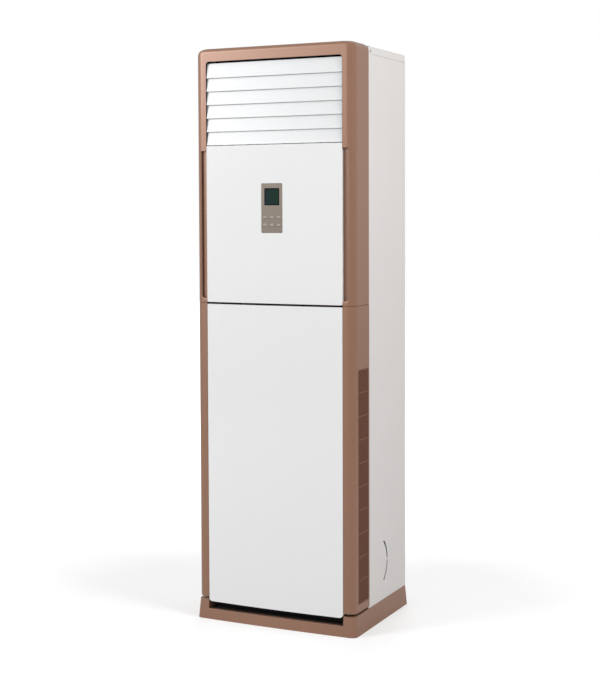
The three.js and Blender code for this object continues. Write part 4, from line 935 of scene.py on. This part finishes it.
def mouth_outline(margin, low):
    """Outline of the outlet's mouth, widened by a margin, from a height up."""
    half, high, radius = outlet_half + margin, outlet_top + margin, outlet_corner + margin
    return outline([(-half, low, 0), (half, low, 0), (half, high, radius), (-half, high, radius)], 10)


def channel_ring(depth):
    """Outline of both finger channels at a depth: the sides slope in, the foot rolls in."""
    share = max(depth, 0) / channel_depth
    rolled = math.sqrt(1 - (1 - share) ** 2)
    half = channel_half - side_slope * share
    foot = channel_foot + foot_roll * rolled
    head = channel_head - head_roll * share
    round_foot = foot_corner - foot_roll * rolled
    ring = outline([(-half, foot, round_foot), (half, foot, round_foot),
                    (half, head, head_corner), (-half, head, head_corner)], 10)
    return [(p.x, front_plane + depth, p.y) for p in ring]


# The black trim in the outlet's reveal is painted shade: its black stands in for the reveal's shadow.
shade_trim_wall, shade_trim_gap, shade_trim_set_back = 0.8 * mm, 0.05 * mm, 0.5 * mm
cut(bezel, prism("mouth", "y", mouth_outline(shade_trim_wall, outlet_bottom), front_plane - mm, column_rear),
    block((-jamb_half, front_plane - mm, bezel_low.z - mm),
          (jamb_half, front_plane + channel_depth, outlet_bottom + mm)),
    loft("channels", [channel_ring(-mm)] + [channel_ring(channel_depth * (k / roll_steps) ** 2)
                                           for k in range(roll_steps + 1)]))
round_edges(bezel, 0.7 * mm, 3)
dress(bezel, "cabinet", "bronze_plastic", bronze, "outlet_bezel")

shade_trim = prism("outlet_edge_trim", "y", mouth_outline(shade_trim_wall - shade_trim_gap, outlet_bottom + shade_trim_set_back),
             front_plane + shade_trim_set_back, front_plane + column_wall)
cut(shade_trim, prism("hole", "y", mouth_outline(0, outlet_bottom - mm), front_plane - mm,
                front_plane + 3 * column_wall))
round_edges(shade_trim, 0.15 * mm, 2)
dress(shade_trim, "cabinet", "dark_plastic", dark_plastic)


# ---------------------------------------------------------------- outlet frame, vanes and louvres
# A black frame carries seven upright vanes and six white louvres; a link bar ties each set to its
# small motor. The louvres hang in front of their pins on ears, and overlap like shingles when shut,
# with a lip at the lower edge of each.
keep(dark_plastic, "outlet_frame", "vane_link", "louver_link", *("vane_%d" % i for i in range(1, 8)))

louver_plastic = moulded_plastic("satin_white_abs", "#E8E9EA", 0.28, 6 * mm, {"Specular IOR Level": 0.35})
blade_chord, blade_thickness, blade_bulge, blade_flare = 47 * mm, 2.4 * mm, 1.2 * mm, 3.2 * mm
set_forward, lean = 14 * mm, math.radians(5)
ear_thickness, ear_reach = 2.6 * mm, 4 * mm
blade_edge, weld_depth = 0.8 * mm, 0.5 * mm
pin_radius = 2 * mm
crank_reach, crank_offset, crank_radius, crank_wall = 29 * mm, 6 * mm, 1.5 * mm, 1.5 * mm
lug_top, lug_root, lug_thickness = 2 * mm, 11 * mm, 3 * mm
blade_half = outlet_half - 0.5 * mm
link_low, link_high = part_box("louver_link")


def on_blade(pivot, along, behind):
    """A point (y, z) from its place along the blade and behind its pivot."""
    return (pivot[1] + along * math.sin(lean) + behind * math.cos(lean),
            pivot[2] + along * math.cos(lean) - behind * math.sin(lean))


def blade_section(pivot):
    """Section of a blade: flat behind, bulged in front, with the lip that flares at the lower edge."""
    half, near = blade_chord / 2, -set_forward + blade_thickness / 2
    far = near - blade_thickness
    steps = 24
    face = [(-half + blade_chord * i / steps) for i in range(steps + 1)]
    points = [on_blade(pivot, a, far - blade_bulge * (1 - (a / half) ** 2)
                       - blade_flare * (0.5 - a / blade_chord) ** 3) for a in face]
    return points + [on_blade(pivot, half - blade_edge, near), on_blade(pivot, blade_edge - half, near)]


for number, letter in enumerate("abcdef", 1):
    node = "louver_%d" % number
    joint = next(j for j in frame["joints"] if j["name"] == node + "_turn")
    pivot = joint["pos_m"]
    node_low, node_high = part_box(node)
    near = -set_forward + blade_thickness / 2 - weld_depth
    root = blade_chord / 2 - 2 * ear_reach
    blade = prism(node + "_blade", "x", blade_section(pivot), -blade_half, blade_half)
    round_edges(blade, 0.5 * mm, 3, 20)
    ear = [on_blade(pivot, *p) for p in ((root, near), (ear_reach, ear_reach), (-ear_reach, ear_reach),
                                         (-root, near))]
    boss = crank_radius + crank_wall
    lug_inner = link_high.x + clear
    lug = [on_blade(pivot, *p) for p in (
        (blade_chord / 2 - lug_root, near), (blade_chord / 2 - lug_top, near),
        (crank_reach + boss, crank_offset - boss), (crank_reach + boss, crank_offset + boss),
        (crank_reach - boss, crank_offset + boss))]
    weld(blade,
         prism("ear", "x", ear, -blade_half, ear_thickness - blade_half),
         prism("ear", "x", ear, blade_half - ear_thickness, blade_half),
         rod("x", pivot[1:], pin_radius, node_low.x, mm - blade_half, 16),
         rod("x", pivot[1:], pin_radius, blade_half - mm, node_high.x, 16),
         prism("lug", "x", lug, lug_inner, lug_inner + lug_thickness),
         rod("x", on_blade(pivot, crank_reach, crank_offset), crank_radius, link_low.x - mm,
             lug_inner + mm, 16))
    round_edges(blade, 0)
    dress(blade, "louver_" + letter, "white_louver", louver_plastic, node)


# ---------------------------------------------------------------- white front panels
# Two gloss ABS covers with a slight crown: the door below, which tips forward on its two pins, and
# the fixed cover above it with the window for the console. Ribs stiffen both from behind.
def gloss_white():
    """Gloss white ABS: a mirror-smooth mould skin with a faint waviness over a hand's width."""
    material, tree, shader = finish("gloss_white_abs", "#F3F3F3", 0.16,
                                    {"Coat Weight": 0.3, "Coat Roughness": 0.06})
    skin(tree, shader, 70 * mm, 0.12 * mm, 0.4)
    return material


white_gloss = gloss_white()
panel_crown, panel_proud, panel_wall = 6 * mm, 2 * mm, 3 * mm
panel_corner, rib_front = 3 * mm, 8 * mm


def crowned_plan(half, face, depth, radius):
    """Plan of a cover: flat at the rear, its front face bowed forward in the middle."""
    steps = 48
    crown = [(x, face - panel_crown * (1 - (x / half) ** 2), 0)
             for x in (-half + 2 * half * i / steps for i in range(1, steps))]
    return outline([(-half, depth, 0), (-half, face, radius), *crown, (half, face, radius),
                    (half, depth, 0)], 6)


def cover_shell(name, low, high, lower_corner, rib_heights):
    """A crowned cover as a thin shell with cross ribs, open at the rear."""
    half = high.x if name.startswith("upper") else outlet_half
    face, depth = front_plane - panel_proud, high.y
    body = prism(name, "z", crowned_plan(half, face, depth, panel_corner), low.z, high.z)
    front_view = outline([(-half, low.z, lower_corner), (half, low.z, lower_corner),
                          (half, high.z, panel_corner), (-half, high.z, panel_corner)], 10)
    common(body, prism("front_view", "y", front_view, low.y - mm, depth))
    round_edges(body, 1.4 * mm, 5)
    inner = prism("inner", "z", crowned_plan(half - panel_wall, face + panel_wall, depth + mm, 0),
                  low.z + panel_wall, high.z - panel_wall)
    for height in rib_heights:
        cut(inner, block((-1, low.y - mm, height - panel_wall / 2),
                         (1, front_plane + rib_front, height + panel_wall / 2)))
    return cut(body, inner)


door_low, door_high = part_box("lower_front_panel")
door_corner, hinge_pin, rib_count = 12 * mm, 2.2 * mm, 4
rib_gap = (door_high.z - door_low.z) / (rib_count + 1)
rib_heights = [door_low.z + rib_gap * i for i in range(1, rib_count + 1)]
door = cover_shell("lower_door", door_low, door_high, door_corner, rib_heights)
weld(door, *(rod("x", (hinge_y, hinge_z), hinge_pin, *span(side, outlet_half - panel_wall, door_high.x), 20)
             for side in (-1, 1)))
round_edges(door, 0)
dress(door, "lower_panel", "white_panel", white_gloss, "lower_front_panel")

console_low, console_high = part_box("control_console")
console_plate = (-36.5 * mm, 36.5 * mm), (1243 * mm, 1397 * mm)
console_round = 3 * mm
head_gap = Vector((0, 0, 1.3 * mm))
rib_away = 30 * mm
upper = cover_shell("upper_cover", upper_low, upper_high - head_gap, panel_corner,
                    widen(console_plate[1], rib_away))
console_hole = rectangle(widen(console_plate[0], clear), widen(console_plate[1], clear), console_round)
cut(upper, prism("console_window", "y", console_hole, upper_low.y - mm, front_plane))
round_edges(upper, 0)
dress(upper, "cabinet", "white_panel", white_gloss, "upper_front_panel")


# ---------------------------------------------------------------- control console
# A satin taupe plate set flush in the upper cover, with a smoked window over the display and six
# domed keys in two rows. The circuit board stands on four posts behind it.
def taupe_lacquer():
    """Fine metallic taupe lacquer on ABS, satin, with flake too small to see one by one."""
    material, tree, shader = finish("taupe_metallic_lacquer_on_abs", "#877C71", 0.38, {"Metallic": 0.35})
    skin(tree, shader, 0.8 * mm, 0.01 * mm)
    return material


def display_window():
    """A smoked acrylic window, black round its edge, over a dark green liquid crystal field."""
    material, tree, shader = finish("smoked_acrylic_window", "#0A0C0C", 0.08, {"Specular IOR Level": 0.3})
    where = add(tree, "ShaderNodeTexCoord").outputs["Object"]
    axes = add(tree, "ShaderNodeSeparateXYZ", {0: where})
    within = []
    for axis, middle, half in (("X", 0.0, field_half[0]), ("Z", window_middle, field_half[1])):
        away = add(tree, "ShaderNodeMath", {0: axes.outputs[axis], 1: middle}, operation="SUBTRACT")
        size = add(tree, "ShaderNodeMath", {0: away.outputs[0]}, operation="ABSOLUTE")
        near = add(tree, "ShaderNodeMath", {0: size.outputs[0], 1: half}, operation="LESS_THAN")
        within.append(near.outputs[0])
    field = add(tree, "ShaderNodeMath", {0: within[0], 1: within[1]}, operation="MULTIPLY")
    shade = add(tree, "ShaderNodeMapRange", {"Value": axes.outputs["X"], "From Min": -field_half[0],
                                             "From Max": field_half[0]})
    glass = add(tree, "ShaderNodeMix", {"Factor": shade.outputs[0], "A": linear("#132A2F"),
                                        "B": linear("#0C3020")}, data_type="RGBA")
    tint = add(tree, "ShaderNodeMix", {"Factor": field.outputs[0], "A": linear("#0A0C0C"),
                                       "B": glass.outputs["Result"]}, data_type="RGBA")
    tree.links.new(tint.outputs["Result"], shader.inputs["Base Color"])
    return material


taupe = taupe_lacquer()
console_face = console_low.y
console_back = console_face + 4.6 * mm
rim_reach, rim_gap = 3 * mm, 0.5 * mm
post_half, post_inset = 2 * mm, 3 * mm
window_span = (-25.75 * mm, 25.75 * mm), (1329 * mm, 1382 * mm)
window_middle = sum(window_span[1]) / 2
window_corner, window_set_back = 0.8 * mm, 0.4 * mm
field_half = (22.5 * mm, 23 * mm)

plate = prism("console_plate", "y", rectangle(*console_plate, console_round), console_face, console_back)
round_edges(plate, 0.6 * mm, 4)
rim_plan = rectangle(widen(console_plate[0], rim_reach), widen(console_plate[1], rim_reach), console_round)
rim = prism("rim", "y", rim_plan, upper_low.y + panel_wall + rim_gap, console_back)
posts = [block((x - post_half, console_back - mm, z - post_half),
               (x + post_half, console_high.y, z + post_half))
         for x in widen(console_plate[0], -post_inset) for z in widen(console_plate[1], -post_inset)]
weld(plate, rim, *posts)
keys = {name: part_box("button_" + name) for name in ("temp_down", "fan", "temp_up", "swing", "power", "mode")}
key_width, key_height, key_round = 15 * mm, 9 * mm, 3 * mm
key_dome, key_proud, dome_steps = 2.2 * mm, 0.8 * mm, 8


def key_plan(low, high, margin, radius):
    """Outline of a cap in the middle of its key's box, widened by a margin."""
    x, z = (low.x + high.x) / 2, (low.z + high.z) / 2
    return rectangle(widen((x - key_width / 2, x + key_width / 2), margin),
                     widen((z - key_height / 2, z + key_height / 2), margin), radius)


window_plan = rectangle(widen(window_span[0], clear), widen(window_span[1], clear))
hole_plans = [window_plan] + [key_plan(low, high, clear, key_round) for low, high in keys.values()]
cut(plate, *(prism("hole", "y", plan, console_face - mm, console_back + mm) for plan in hole_plans))
round_edges(plate, 0)
dress(plate, "cabinet", "console_plastic", taupe, "control_console")

pane = prism("display_window_pane", "y", rectangle(*window_span, window_corner),
             console_face + window_set_back, console_back + clear)
round_edges(pane, 0.3 * mm)
dress(pane, "cabinet", "display_glass", display_window(), "display_window")


def key_cap(name, low, high):
    """A key with a domed face, and the rim behind the plate that keeps it in."""
    rings = []
    for k in range(dome_steps + 1):
        turn = math.pi / 2 * k / dome_steps
        inset = key_dome * (1 - math.cos(turn))
        depth = high.y - mm if k == 0 else low.y - key_proud + key_dome * (1 - math.sin(turn))
        rings.append([(p.x, depth, p.y) for p in key_plan(low, high, -inset, key_round - inset)])
    cap = loft(name, rings)
    return weld(cap, prism("rim", "y", rectangle((low.x, high.x), (low.z, high.z)), high.y - mm, high.y))


key_plastic = moulded_plastic("grey_taupe_key_abs", "#A39A91", 0.42, 0.8 * mm)
for name, (low, high) in keys.items():
    key = key_cap("key_" + name + "_cap", low, high)
    round_edges(key, 0)
    dress(key, "key_" + name, "key_plastic", key_plastic, "button_" + name)

keep(moulded_plastic("green_solder_mask", "#2E6B45", 0.35, 2 * mm), "control_board")


# ---------------------------------------------------------------- screws
# Pan head screws of zinc plated steel, with a cross recess. Two rows of them hold the rear sheet,
# and one at the rear and on each side holds the top cover.
screw_radius, screw_height = 3.6 * mm, 1.8 * mm
screw = rod("z", (0, 0), screw_radius, 0, screw_height, 28)
round_edges(screw, 0.9 * mm, 4)
long, thin = 1.9 * mm, 0.45 * mm
cut(screw, *(block((-x, -y, screw_height - mm), (x, y, screw_height + mm))
             for x, y in ((long, thin), (thin, long))))

screw_tree, given = pattern_tree("screw_line", {"Screw": "Object", "Screws": "Int", "Screw Pitch": "Float",
                                                "Facing": "Vector", "Material": "Material"})
head = add(screw_tree, "GeometryNodeObjectInfo", {"Object": given["Screw"]})
turned = add(screw_tree, "GeometryNodeTransform", {"Geometry": head.outputs["Geometry"],
                                                   "Rotation": given["Facing"]})
end_pattern(screw_tree, repeated(screw_tree, turned.outputs[0], given["Screws"], given["Screw Pitch"], "Z"),
            given["Material"])

quarter = math.pi / 2
rear_x, rear_middle = half - 12 * mm, 0.93
rear_screws, rear_pitch = 7, 270 * mm
cover_side = (cover_low.z + cover_high.z) / 2 - 3 * mm
cover_front = cover_low.y + 16 * mm
screw_lines = (
    ("rear_left_screws", rear_screws, rear_pitch, (-quarter, 0, 0), (-rear_x, rear_plane, rear_middle)),
    ("rear_right_screws", rear_screws, rear_pitch, (-quarter, 0, 0), (rear_x, rear_plane, rear_middle)),
    ("cover_rear_screw", 1, 0, (-quarter, 0, 0), (0, rear_plane, cover_side)),
    ("cover_left_screw", 1, 0, (0, -quarter, 0), (-side_high.x, cover_front, cover_side)),
    ("cover_right_screw", 1, 0, (0, quarter, 0), (side_high.x, cover_front, cover_side)),
)
for name, count, pitch, facing, place in screw_lines:
    line = grown(name, screw_tree, {"Screw": screw, "Screws": count, "Screw Pitch": pitch, "Facing": facing,
                                    "Material": zinc}, place)
    dress(line, "cabinet", "zinc_steel", zinc)
bpy.data.objects.remove(screw)

low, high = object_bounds()
